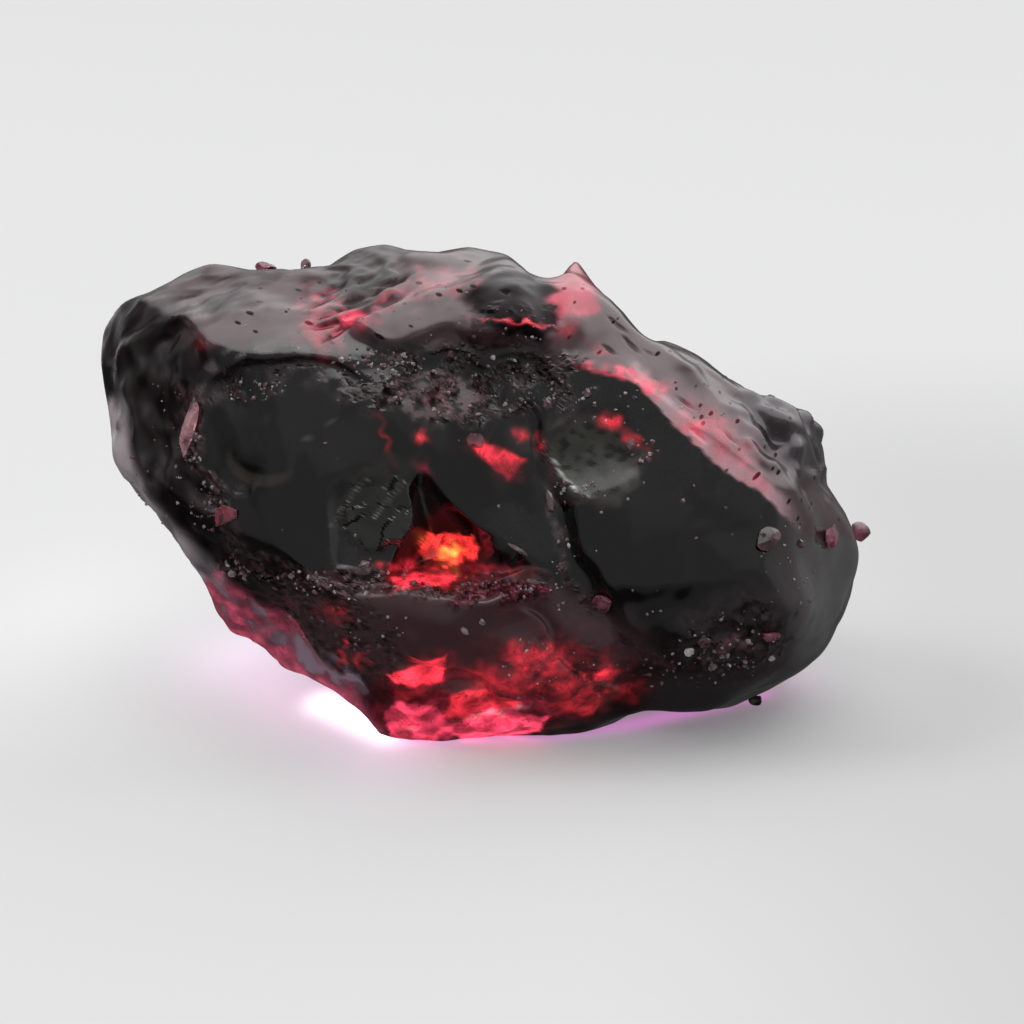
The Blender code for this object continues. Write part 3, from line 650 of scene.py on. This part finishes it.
# %% Lit places
RED = (1.0, 0.035, 0.062)
ROSE = (1.0, 0.058, 0.13)
AMBER = (1.0, 0.24, 0.05)
PALE = (1.0, 0.2, 0.28)
LIT = {  # for each colour: middle u, v, half width, half height, turn, strength
    RED: [
        (-3.8, -5.9, 2.5, 0.55, 8, 0.5), (-5.0, -5.0, 0.5, 1.2, -35, 0.4), (-6.4, -5.2, 1.1, 0.3, 0, 0.8),
        (0.8, -5.2, 3.0, 0.4, -4, 0.3), (1.4, 3.6, 1.4, 0.5, -18, 0.5), (2.4, 2.8, 1.2, 0.7, -30, 0.3),
        (-3.9, 4.8, 0.45, 0.5, 0, 0.8), (3.6, 4.8, 0.5, 0.45, 0, 0.8), (5.0, 4.2, 0.5, 0.6, 0, 0.22),
        (-6.7, 4.6, 0.22, 1.5, 14, 0.22), (10.3, 5.8, 0.9, 0.45, -30, 0.8),
        (11.8, 4.7, 1.9, 0.4, -40, 0.28), (-4.0, -13.2, 2.6, 1.0, 20, 0.3),
        (-9.9, -11.0, 0.3, 0.3, 0, 0.5), (-10.3, -12.3, 0.45, 0.45, 0, 0.5),
        (-8.7, -12.3, 0.55, 0.45, 0, 0.5), (-10.6, -8.6, 1.4, 0.7, -10, 0.12),
        (10.0, -13.4, 0.7, 1.0, 0, 1.0), (5.0, -11.8, 3.2, 0.9, -8, 0.45), (7.5, -14.8, 2.4, 1.8, 0, 0.4),
        (11.6, -14.6, 1.6, 1.0, 0, 0.14), (5.0, -14.8, 2.0, 1.0, 0, 0.14),
        (-4.2, -14.4, 2.8, 1.6, 10, 0.3), (2.4, -13.8, 3.8, 1.3, 0, 0.4), (3.2, 13.4, 2.8, 0.14, -6, 0.8),
        (-20.8, 12.0, 0.9, 0.6, 0, 0.12),
    ],
    ROSE: [
        (2.6, 1.9, 1.2, 0.7, 0, 0.12), (-3.6, 2.3, 0.5, 0.8, 35, 0.2), (-4.8, -17.5, 2.4, 1.3, 0, 0.4),
        (0.8, -16.4, 3.8, 1.2, 8, 0.55), (-2.4, -17.4, 4.8, 1.4, 4, 0.4), (-8.9, 13.8, 1.6, 0.8, 0, 0.3),
        (-12.0, 13.4, 1.2, 2.4, 20, 0.22), (7.6, 13.6, 0.5, 1.6, -40, 0.4),
        (-3.4, 16.6, 3.0, 0.9, 20, 0.14), (7.9, 16.4, 1.4, 1.8, -20, 0.16),
    ],
    PALE: [(-5.2, -17.9, 1.2, 0.5, 5, 0.55), (1.2, -16.5, 3.0, 0.32, 12, 0.95)],
    AMBER: [(-1.8, -4.0, 1.1, 0.45, -3, 2.6)],
}
SLOPE_LIT = [  # the same in rose, kept above the ridge of the right slope
    (10.6, 9.5, 2.4, 0.7, -10, 1.0), (13.0, 8.6, 1.6, 0.6, -20, 0.7), (14.2, 8.6, 0.9, 0.5, 0, 0.45),
    (16.6, 5.2, 2.0, 1.1, -45, 0.75), (18.4, 4.6, 3.8, 1.9, -46, 0.32), (21.0, 1.8, 2.8, 0.8, -50, 0.3),
    (9.6, 11.4, 1.4, 0.4, -30, 0.2),
]
LIT_FACETS = [  # corners clockwise, strength, colour
    (((-6.6, -13.5), (-2.1, -11.8), (-2.5, -14.0), (-5.2, -14.4)), 1.35, RED),
    (((-2.4, -16.9), (-1.8, -15.0), (0.2, -14.4), (3.6, -15.6), (1.9, -16.9)), 0.75, RED),
    (((-7.0, -16.4), (-5.9, -15.5), (-2.9, -15.9), (-1.9, -17.7), (-3.7, -19.2), (-6.6, -18.8)),
     0.85, ROSE),
    (((-2.9, -17.6), (1.9, -16.0), (5.6, -16.9), (5.0, -18.1), (-0.6, -18.9)), 1.15, ROSE),
    (((-0.4, 4.4), (1.9, 4.0), (3.8, 3.0), (2.6, 1.5), (1.1, 2.6)), 0.75, RED),
    (((2.1, -12.0), (5.1, -11.6), (7.8, -12.8), (6.6, -13.6), (3.2, -13.0)), 0.45, RED),
    (((5.6, -14.2), (7.9, -13.7), (9.9, -15.1), (9.1, -16.8), (6.7, -16.3)), 0.28, RED),
    (((-6.2, -6.0), (-4.5, -5.6), (-1.3, -5.7), (-2.0, -6.4), (-5.8, -6.7)), 1.2, RED),
    (((-10.5, 14.1), (-9.4, 14.6), (-8.1, 14.3), (-8.3, 13.6), (-9.9, 13.4)), 0.6, ROSE),
]

# %% Lay the glow
glow = np.zeros((len(u), 3))


def add_glow(strength, color):
    """Raises the glow to this strength of the colour where it is weaker."""
    global glow
    glow = np.maximum(glow, strength[:, None] * np.array(color))


for corners, strength, color in LIT_FACETS:
    add_glow(facet(*corners) * strength, color)
for color, rows in LIT.items():
    for *where, strength in rows:
        add_glow(bell(*where) * strength, color)
for *where, strength in SLOPE_LIT:
    add_glow(bell(*where) * over_ridge * strength, ROSE)
lens = rise((1.08 - oval(frayed_u, frayed_v, -1.9, -3.75, 2.35, 1.15, -4)) / 0.16) * front
add_glow(lens * (0.85 + 0.5 * speck), (1.0, 0.04, 0.035))
add_glow(0.16 * lower_mottle * speck, RED)
add_glow(0.34 * foot, ROSE)
add_glow(0.24 * underside, (1.0, 0.14, 0.26))
glow = glow * (0.8 + 0.4 * np.clip(waves(local, 2.2, 88), -1, 1))[:, None]
lit = np.clip(glow[:, 0] * 1.2, 0, 1)
# Painted light: where the glow is laid, the tint is painted red as well.
paint(lit, (0.3, 0.03, 0.05), 0.8, 0.12)
print("lit share: %.2f" % (lit > 0.2).mean())

# %% Pink tips and dull places
pink_crown = spot(-3.4, 16.6, 3.4, 1.2, 20) * mottle(2.0, 85, 0.4)
pink_neck = spot(-11.4, 13.4, 1.6, 2.4, 20) * mottle(1.4, 86, 0.5)
peak = spot(7.9, 16.6, 1.5, 2.2, -20)
pink = np.maximum.reduce([0.5 * pink_crown, 0.6 * pink_neck, 0.9 * peak])
paint(pink, (0.42, 0.08, 0.11), 0.4, 0.16)
# A matt place gets a metal's reflection, which takes the tint's colour: nearly black mirrors little.
matt = np.maximum.reduce([0.9 * np.clip(dug * 6, 0, 1), 0.97 * knob, 0.85 * dark_sky, 0.1 * top_skin,
                          0.7 * folded * stripes, 0.6 * far_right, 0.4 * crushed * front, 0.8 * ledge_seam,
                          0.3 * hazy, 0.4 * peak]) * (1 - 0.7 * lit)

# %% [markdown]
# ## Building the stone
# One closed mesh stands for the whole lump, because it grew as one piece. It is shaded smooth,
# except where it is crushed: there each small cell is left flat, so that it sparkles.

# %% Mesh helper
def make_mesh(name, points, faces, material, flat=False, numbers=None, colors=None):
    """A mesh object at the origin, flat all over or face by face, with per-point numbers and colours."""
    mesh = bpy.data.meshes.new(name)
    mesh.from_pydata(np.round(points, 7).tolist(), [], faces.tolist())
    mesh.update()
    mesh.polygons.foreach_set("use_smooth", ~np.broadcast_to(flat, len(faces)))
    for key, values in (numbers or {}).items():
        mesh.attributes.new(key, "FLOAT", "POINT").data.foreach_set("value", values.astype(np.float32))
    for key, values in (colors or {}).items():
        rgba = np.column_stack([values, np.ones(len(values))]).astype(np.float32)
        mesh.attributes.new(key, "FLOAT_COLOR", "POINT").data.foreach_set("color", rgba.ravel())
    mesh.materials.append(material)
    obj = bpy.data.objects.new(name, mesh)
    bpy.context.scene.collection.objects.link(obj)
    return obj


# %% Node helpers
class Nodes:
    """The nodes of a new material or world, with short ways to add and join them."""

    def __init__(self, owner, shader="Principled BSDF"):
        owner.use_nodes = True
        self.owner = owner
        self.tree = owner.node_tree
        self.shader = self.tree.nodes[shader]
        self.where = self.add("TexCoord", "Object")

    def set(self, socket, value):
        """Gives a socket a plain value, or joins it to another node's output."""
        if isinstance(value, bpy.types.NodeSocket):
            self.tree.links.new(value, socket)
        else:
            socket.default_value = value

    def shade(self, **inputs):
        """Sets or joins sockets of the shader itself."""
        for key, value in inputs.items():
            self.set(self.shader.inputs[key.replace("_", " ")], value)

    def add(self, kind, output, operation=None, **inputs):
        """A new node of this kind with these inputs set or joined; gives its named output."""
        node = self.tree.nodes.new("ShaderNode" + kind)
        if operation:
            node.operation = operation
        for key, value in inputs.items():
            self.set(node.inputs[key.replace("_", " ")], value)
        return node.outputs[output]

    def math(self, operation, *values, kind="Math", output="Value"):
        """A number, or with another kind a vector, worked out from values in their order."""
        result = self.add(kind, output, operation)
        for socket, value in zip(result.node.inputs, values):
            self.set(socket, value)
        return result

    def attribute(self, name, output="Fac"):
        result = self.add("Attribute", output)
        result.node.attribute_name = name
        return result

    def noise(self, scale, detail=2.0, warp=0.0):
        return self.add("TexNoise", "Fac", Vector=self.where, Scale=scale, Detail=detail, Distortion=warp)

    def step(self, value, low, high, to_low=0.0, to_high=1.0):
        """A smooth step of the value from low to high."""
        result = self.add("MapRange", "Result", Value=value, From_Min=low, From_Max=high,
                          To_Min=to_low, To_Max=to_high)
        result.node.interpolation_type = "SMOOTHSTEP"
        return result

    def shade_dashes(self, scale, stretch, turn):
        """1 in small long spots, one in each stretched cell, turned about the depth axis."""
        turned = self.add("Mapping", "Vector", Vector=self.where, Rotation=(0, np.radians(turn), 0))
        cells = self.add("Mapping", "Vector", Vector=turned, Scale=(scale / stretch, scale / 2, scale))
        far = self.add("TexVoronoi", "Distance", Vector=cells, Scale=1.0)
        return self.step(far, 0.12, 0.2, 1.0, 0.0)

    def scaled(self, color, factor):
        """A colour times a number."""
        return self.add("VectorMath", "Vector", "SCALE", Vector=color, Scale=factor)

    def bump(self, height, strength, distance):
        return self.add("Bump", "Normal", Strength=strength, Distance=distance, Height=height)

    def absorb(self, color, density):
        """What the clear body swallows of light on its way through."""
        body = self.add("VolumeAbsorption", "Volume", Color=(*color, 1), Density=density)
        self.set(self.tree.nodes["Material Output"].inputs["Volume"], body)


# %% [markdown]
# ## Ruby
# The body is clear crystal with a high index and a deep red absorption, so only thin places pass
# light. The painted colours, roughness and clearness come from the mesh. Noise breaks them up:
# grains in the crushed skin, clouds and cracks in the light from within, and dark dashes on top,
# which are painted shade for small pits.

# %% Ruby material
ruby = Nodes(bpy.data.materials.new("ruby_crystal"))
grit = ruby.attribute("crushed")
grains = ruby.noise(1900.0)
spread = ruby.step(grains, 0.34, 0.7, -0.75, 1.6)
grainy = ruby.math("MULTIPLY_ADD", spread, grit, 1.0)
clouds = ruby.step(ruby.noise(1200.0, 3.0, 0.5), 0.34, 0.66, -0.85, 0.85)
contrast = ruby.math("MULTIPLY_ADD", grit, 1.1, 0.35)
clouds = ruby.math("MAXIMUM", ruby.math("MULTIPLY_ADD", clouds, contrast, 1.0), 0.05)
cracks = ruby.step(ruby.noise(520.0, 2.0, 1.6), 0.47, 0.5)
cracks = ruby.math("ABSOLUTE", ruby.math("MULTIPLY_ADD", cracks, 2.0, -1.0))
cracks = ruby.math("MAXIMUM", cracks, 0.4)
# Painted shade: small dark dashes on the crown and the right slope darken the tint and the reflection, for
# small pits.
crown_shade_dashes = ruby.math("MULTIPLY", ruby.shade_dashes(1000.0, 4.5, -27), ruby.attribute("crown"))
slope_shade_dashes = ruby.math("MULTIPLY", ruby.shade_dashes(1050.0, 4.5, 42), ruby.attribute("slope"))
shade_dashes = ruby.math("MAXIMUM", crown_shade_dashes, slope_shade_dashes)
tint_node = ruby.scaled(ruby.attribute("tint", "Color"), grainy)
tint_node = ruby.scaled(tint_node, ruby.math("MULTIPLY_ADD", shade_dashes, -0.9, 1.0))
ruby.shade(
    Metallic=ruby.math("MAXIMUM", ruby.attribute("matt"), shade_dashes),
    Base_Color=tint_node,
    Roughness=ruby.attribute("rough"),
    Transmission_Weight=ruby.attribute("clear"),
    IOR=RUBY_INDEX,
    Specular_IOR_Level=0.45,
    Emission_Color=ruby.scaled(ruby.attribute("glow", "Color"), ruby.math("MULTIPLY", clouds, cracks)),
    Emission_Strength=1.0,
)
ruby.absorb((0.8, 0.2, 0.42), 1000.0)
rough_grain = ruby.math("MULTIPLY", ruby.noise(2400.0), grit)
ruby.shade(Normal=ruby.bump(rough_grain, 0.6, 0.0002))

flat_cells = (crushed[quads].mean(1) > 0.25) | (glassy[quads].mean(1) > 0.5)
stone = make_mesh("ruby_body", place, quads, ruby.owner, flat=flat_cells,
                  numbers={"rough": rough, "clear": clear, "crushed": crushed, "matt": matt,
                           "crown": top_skin * rise((6.0 - u) / 2) * (1 - folded), "slope": over_ridge},
                  colors={"tint": tint, "glow": glow})
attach(stone, "root")
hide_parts("ruby")
print("stone:", len(stone.data.polygons), "faces,", len(ruby.tree.nodes), "nodes in its material")

# %% [markdown]
# ## Loose chips and crumbs
# Small flakes broken off the crystal cling to it. Each is a lump cut by flat planes: the reach in
# a direction is the least of all the planes' distances over the cosine to their normals. They are
# thin, so they look pink and not black. Crumbs too small to be parts of their own sit where the
# stone is crushed and catch the light as glints; the palest are also painted near white, as
# painted highlights.

# %% Faceted lumps
def faceted(way, seed, flats):
    """A convex lump of about unit radius, cut by this many scattered planes."""
    rng = np.random.default_rng(seed)
    normals = unit(rng.normal(size=(flats, 3)))
    gaps = rng.uniform(0.65, 1.0, flats)
    cosines = np.maximum(way @ normals.T, 1e-3)
    return way * np.minimum((gaps / cosines).min(1), 1.25)[:, None]


def principal_axes(points):
    """Middle, axes and half sizes of a cloud of points along its own main directions."""
    middle = points.mean(0)
    axes = np.linalg.svd(points - middle, full_matrices=False)[2]
    axes[2] = np.cross(axes[0], axes[1])
    along = (points - middle) @ axes.T
    middle = middle + (along.max(0) + along.min(0)) / 2 @ axes
    return middle, axes, (along.max(0) - along.min(0)) / 2


# %% Chips where the frame has them
chip_way, chip_quads = cube_ball(9)
PINK = (0.3, 0.1, 0.14)
ROSY = (0.4, 0.08, 0.12)
DULL = (0.26, 0.19, 0.19)
OLIVE = (0.035, 0.04, 0.015)
# GLINT, the long splinter's paler pink, is partly its colour and partly a painted highlight for its glints.
GLINT = (0.62, 0.32, 0.36)
DARK = (0.14, 0.05, 0.065)
CHIP_COLORS = [ROSY, GLINT, PINK, DULL, DULL, PINK, DARK, PINK, PINK, PINK, PINK, OLIVE, OLIVE, OLIVE, DULL]
chip_nodes = ["chip_%02d" % number for number in range(1, len(CHIP_COLORS) + 1)]
chip_points = []
for number, name in enumerate(chip_nodes, 1):
    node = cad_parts[name]
    corners = np.array([tuple(node.matrix_world @ corner.co) for corner in node.data.vertices])
    middle, axes, half = principal_axes(corners)
    lump = faceted(chip_way, 200 + number, 10)
    lump = lump / np.abs(lump).max(0)
    if number == 1:                                        # the first is dished, as a ring worn down
        lump[:, 2] *= 0.25 + 0.75 * rise(np.hypot(lump[:, 0], lump[:, 1]) / 0.7)
    gap = place - middle
    nearest = place[np.argmin((gap * gap).sum(1))]
    sink = (nearest - middle) / np.linalg.norm(nearest - middle) * 0.35 * MM
    chip_points.append(middle + sink + (lump * half) @ axes)
chip_faces = copied_quads(chip_quads, len(chip_way), len(chip_nodes))

# %% Flake material
flake = Nodes(bpy.data.materials.new("ruby_flakes"))
veil = flake.step(flake.noise(900.0, 3.0), 0.35, 0.65, 0.5, 0.95)
flake.shade(
    Base_Color=flake.attribute("tint", "Color"),
    Roughness=flake.step(flake.noise(1500.0), 0.4, 0.6, 0.08, 0.3),
    Transmission_Weight=veil,
    IOR=RUBY_INDEX,
    Specular_IOR_Level=0.5,
    Normal=flake.bump(flake.noise(1400.0), 0.15, 0.0001),
)
flake.absorb((0.88, 0.35, 0.5), 500.0)
chips = make_mesh("ruby_flakes", np.concatenate(chip_points), chip_faces, flake.owner,
                  flat=True, colors={"tint": np.repeat(CHIP_COLORS, len(chip_way), 0)})
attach(chips, "root")
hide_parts(*chip_nodes)
print("chips:", len(chip_nodes), "with", len(chip_faces), "faces")

# %% Where the crumbs lie
CLUSTERS = [  # middle u, v, half width, half height, how many, size
    (-17.0, 8.3, 3.0, 0.9, 34, 0.26), (-20.6, -0.5, 1.4, 2.0, 44, 0.26), (-21.5, 3.8, 0.7, 1.6, 34, 0.34),
    (-24.5, 4.0, 2.6, 6.0, 30, 0.22), (-7.6, 10.2, 3.4, 1.4, 50, 0.3),
    (17.0, -13.2, 5.0, 1.6, 50, 0.22), (-0.8, 8.8, 7.6, 2.4, 110, 0.24),
    (2.6, 13.2, 3.6, 1.6, 20, 0.22), (9.0, 7.2, 4.0, 1.4, 26, 0.24), (-10.0, -6.2, 8.0, 1.0, 60, 0.3),
    (2.4, -6.6, 4.0, 1.0, 26, 0.28), (20.0, -10.8, 3.4, 2.4, 50, 0.24), (24.0, -5.0, 3.0, 3.6, 24, 0.2),
    (6.4, -13.0, 5.6, 2.8, 40, 0.2), (-9.4, -9.4, 5.0, 2.4, 34, 0.22), (7.6, 0.8, 1.8, 0.8, 24, 0.24),
    (6.6, -4.0, 0.7, 4.6, 18, 0.26), (-18.4, -5.2, 1.6, 0.8, 22, 0.34), (-3.0, 1.0, 14.0, 7.0, 26, 0.18),
    (15.0, -5.0, 9.0, 7.0, 26, 0.18), (-8.0, 14.0, 10.0, 3.0, 30, 0.16), (16.0, 6.5, 8.0, 3.0, 26, 0.18),
    (13.0, 3.6, 1.6, 1.0, 12, 0.3),
]
GRAINS = [  # u, v, size: single larger grains
    (-6.2, 8.6, 0.9), (-6.6, -6.6, 0.8), (-4.6, -6.6, 0.8), (-8.2, -5.0, 0.9), (0.6, -9.2, 0.8),
    (-0.8, -9.8, 0.7), (-7.2, -11.0, 0.6), (-8.0, -11.4, 0.5), (0.2, 4.4, 1.2), (6.6, -5.0, 0.8),
    (8.6, 8.2, 0.7), (11.9, 4.2, 0.9), (5.6, 7.3, 1.0), (17.4, -10.6, 0.9), (16.4, -11.4, 0.7),
    (24.9, -3.4, 0.7), (15.6, -0.2, 0.4), (19.0, -0.8, 0.4), (-19.8, -5.3, 0.9), (-18.8, -5.6, 0.7),
]
crumb_way, crumb_quads = cube_ball(2)
rng = np.random.default_rng(77)
spots, sizes = [], []
for u0, v0, half_u, half_v, count, size in CLUSTERS:
    near = np.flatnonzero((oval(u, v, u0, v0, half_u, half_v, 0) < 1) & (w > 2))
    spots.append(rng.choice(near, count))
    sizes.append(size * rng.lognormal(0.0, 0.35, count))
for u0, v0, size in GRAINS:
    spots.append([np.argmin((u - u0) ** 2 + (v - v0) ** 2 + 9.0 * (w < 0))])
    sizes.append([size])
spots, sizes = np.concatenate(spots), np.concatenate(sizes)

# %% Crumb mesh
shapes = [faceted(crumb_way, 500 + k, 9) for k in range(12)]
which = rng.integers(0, len(shapes), len(spots))
turns = np.linalg.qr(rng.normal(size=(len(spots), 3, 3)))[0]
turns[:, 0] *= np.sign(np.linalg.det(turns))[:, None]
stretch = rng.uniform(0.6, 1.2, (len(spots), 1, 3))
lumps = np.stack(shapes)[which] * stretch @ turns * (sizes * MM / 2)[:, None, None]
crumb_points = (place[spots][:, None] + lumps).reshape(-1, 3)
crumb_points[:, 2] = np.maximum(crumb_points[:, 2], 0)
crumb_faces = copied_quads(crumb_quads, len(crumb_way), len(spots))
# Painted highlights: the palest crumbs are painted near white as glints; the rest are dark pink.
painted_glint = rng.uniform(0, 1, (len(spots), 1)) ** 3
crumb_tint = np.array([0.95, 0.9, 0.91]) * painted_glint + np.array([0.2, 0.09, 0.11]) * (1 - painted_glint)
crumb_tint = np.repeat(crumb_tint, len(crumb_way), 0)
crumb = Nodes(bpy.data.materials.new("ruby_crumbs"))
crumb_shade = crumb.step(crumb.noise(2500.0), 0.3, 0.7, 0.5, 1.1)
crumb.shade(
    Base_Color=crumb.scaled(crumb.attribute("tint", "Color"), crumb_shade),
    Roughness=0.12,
    Transmission_Weight=0.6,
    IOR=RUBY_INDEX,
    Specular_IOR_Level=0.6,
)
crumbs = make_mesh("ruby_crumbs", crumb_points, crumb_faces, crumb.owner,
                   flat=True, colors={"tint": crumb_tint})
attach(crumbs, "root")
print("crumbs:", len(spots), "of %.2f to %.2f mm" % (sizes.min(), sizes.max()))

# %% [markdown]
# ## The table and the light
# The stone lies on a plain pale surface. The room is bright overhead and dim in front, which is
# why the top faces look grey and the front faces black. The lamps are left out of reflections,
# so that none shows as a shape in the glassy faces. The light that the stone throws on the
# table is painted on it as a weak glow, which falls off from lines along the stone's foot.

# %% Table
TABLE_STEPS = 281           # points along each side, closest together near the stone
steps = np.linspace(-1, 1, TABLE_STEPS)
reach = 60 * steps + 1940 * steps ** 9
floor_x, floor_y = [c.ravel() for c in np.meshgrid(reach, reach, indexing="ij")]
floor_points = np.column_stack([floor_x, floor_y, np.zeros(len(floor_x))]) * MM
# Painted light evens the table out: less of it to the right and in front, where the lamps reach more.
dimmer = 0.12 * rise((floor_x - 5) / 40) * rise((140 - floor_y) / 80) + 0.03 * rise((-8 - floor_y) / 16)
thrown = np.ones((len(floor_x), 3)) * (0.2 - dimmer)[:, None]
THROWN = [  # line on the table (depth halved), reach, strength, colour
    ([(-12.0, -1.2), (-7.0, -4.6)], 2.0, 1.1, (1.0, 0.92, 1.0)),
    ([(-19.0, 4.4), (-12.0, -1.2), (-7.0, -4.8)], 6.5, 0.3, (1.0, 0.5, 0.92)),
    ([(-34.0, 10.0), (-18.0, 0.0)], 16.0, 0.1, (1.0, 0.98, 1.0)),
    ([(-6.0, -5.6), (6.0, -5.4), (13.0, -3.6), (18.0, -1.8), (23.0, 0.2)], 1.1, 0.3, (0.85, 0.06, 0.75)),
    ([(12.0, -3.0), (26.0, 2.0)], 3.6, 0.1, (0.75, 0.1, 0.6)),
]
for line, far, strength, color in THROWN:
    far = near_line(floor_x, floor_y / 2, line) / far
    thrown += (np.exp(-1.6 * far ** 2) * strength)[:, None] * np.array(color)
felt = Nodes(bpy.data.materials.new("table"))
felt.shade(Base_Color=(0.42, 0.42, 0.425, 1), Roughness=0.8, Specular_IOR_Level=0.1,
           Emission_Color=felt.attribute("thrown", "Color"), Emission_Strength=1.0)
table = make_mesh("table", floor_points, grid_quads(TABLE_STEPS), felt.owner, colors={"thrown": thrown})
table.visible_glossy = False
for material in (felt.owner, ruby.owner):
    material.cycles.emission_sampling = "NONE"             # the weak glows are not treated as lamps
print("table: %.1f m wide" % table.dimensions.x)

# %% Room light
sky = Nodes(bpy.data.worlds.new("room"), "Background")
bpy.context.scene.world = sky.owner
view_way = sky.add("TexCoord", "Generated")


def sky_lobe(axis, stops):
    """Brightness as a ramp of the cosine between the view direction and this axis."""
    cosine = sky.math("DOT_PRODUCT", view_way, Vector(axis).normalized(), kind="VectorMath")
    result = sky.add("ValToRGB", "Color", Fac=cosine)
    ramp = result.node.color_ramp
    ramp.interpolation = "EASE"
    for position, _ in stops[1:-1]:
        ramp.elements.new(position)
    for mark, (position, level) in zip(ramp.elements, stops):
        mark.position = position
        mark.color = (level, level, level, 1)
    return result


overhead = sky_lobe((0.25, 0.55, 1.0), [(0.0, 0.0), (0.58, 0.01), (0.72, 0.62), (0.84, 0.95), (1.0, 1.0)])
room = sky_lobe((0.0, -1.0, 0.8), [(0.0, 0.02), (0.2, 0.08), (0.6, 0.13), (1.0, 0.13)])
right = sky_lobe((1.0, 0.3, 0.1), [(0.0, 0.0), (0.5, 0.02), (0.8, 0.12), (1.0, 0.16)])
wall = sky_lobe((-0.3, 1.0, 0.0), [(0.0, 0.0), (0.3, 0.02), (0.7, 0.11), (1.0, 0.12)])
low = sky_lobe((0.0, 0.0, 1.0), [(0.0, 0.0), (0.04, 1.0), (0.3, 1.0), (0.5, 0.0), (1.0, 0.0)])
light = sky.math("MULTIPLY", wall, low, kind="VectorMath", output="Vector")
for lobe in (overhead, right, room):
    light = sky.math("ADD", light, lobe, kind="VectorMath", output="Vector")
sky.shade(Color=light, Strength=1.7)


# %% Lamps
def add_lamp(name, place, aim, size, power):
    """A soft square lamp, size in metres and power in watts, itself neither in view nor in reflections."""
    data = bpy.data.lights.new(name, "AREA")
    data.size = size
    data.energy = power
    lamp = bpy.data.objects.new(name, data)
    lamp.location = place
    lamp.rotation_euler = (Vector(aim) - Vector(place)).to_track_quat("-Z", "Y").to_euler()
    lamp.visible_camera = False
    lamp.visible_glossy = False
    bpy.context.scene.collection.objects.link(lamp)
    return lamp


add_lamp("fill_front", (0.3, -1.3, 1.6), (0, 0, 0), 1.6, 18.0)
add_lamp("key_left", (-1.3, -0.1, 1.3), (0, 0, 0), 0.9, 13.0)
through = add_lamp("low_behind", (-0.1, 0.15, 0.03), (0.0, 0.0, 0.012), 0.06, 0.3)
through.visible_diffuse = False

# %% [markdown]
# ## The camera
# It looks at the broad front from a little above, far enough off for a calm perspective.

# %% Camera
ACROSS = 0.0816             # width of the view at the stone, metres
DISTANCE = 0.3
data = bpy.data.cameras.new("camera")
data.lens = 36 * DISTANCE / ACROSS
data.clip_start = 0.01
camera = bpy.data.objects.new("camera", data)
bpy.context.scene.collection.objects.link(camera)
middle = to_world([2.87, -0.96, 0.0])[0]
away = np.array([0, -np.cos(LEAN), np.sin(LEAN)])
camera.location = middle + away * DISTANCE
camera.rotation_euler = Vector(-away).to_track_quat("-Z", "Y").to_euler()
bpy.context.scene.camera = camera
bpy.context.scene.view_settings.view_transform = "Standard"
print("camera: %.0f mm lens at %.2f m" % (data.lens, DISTANCE))
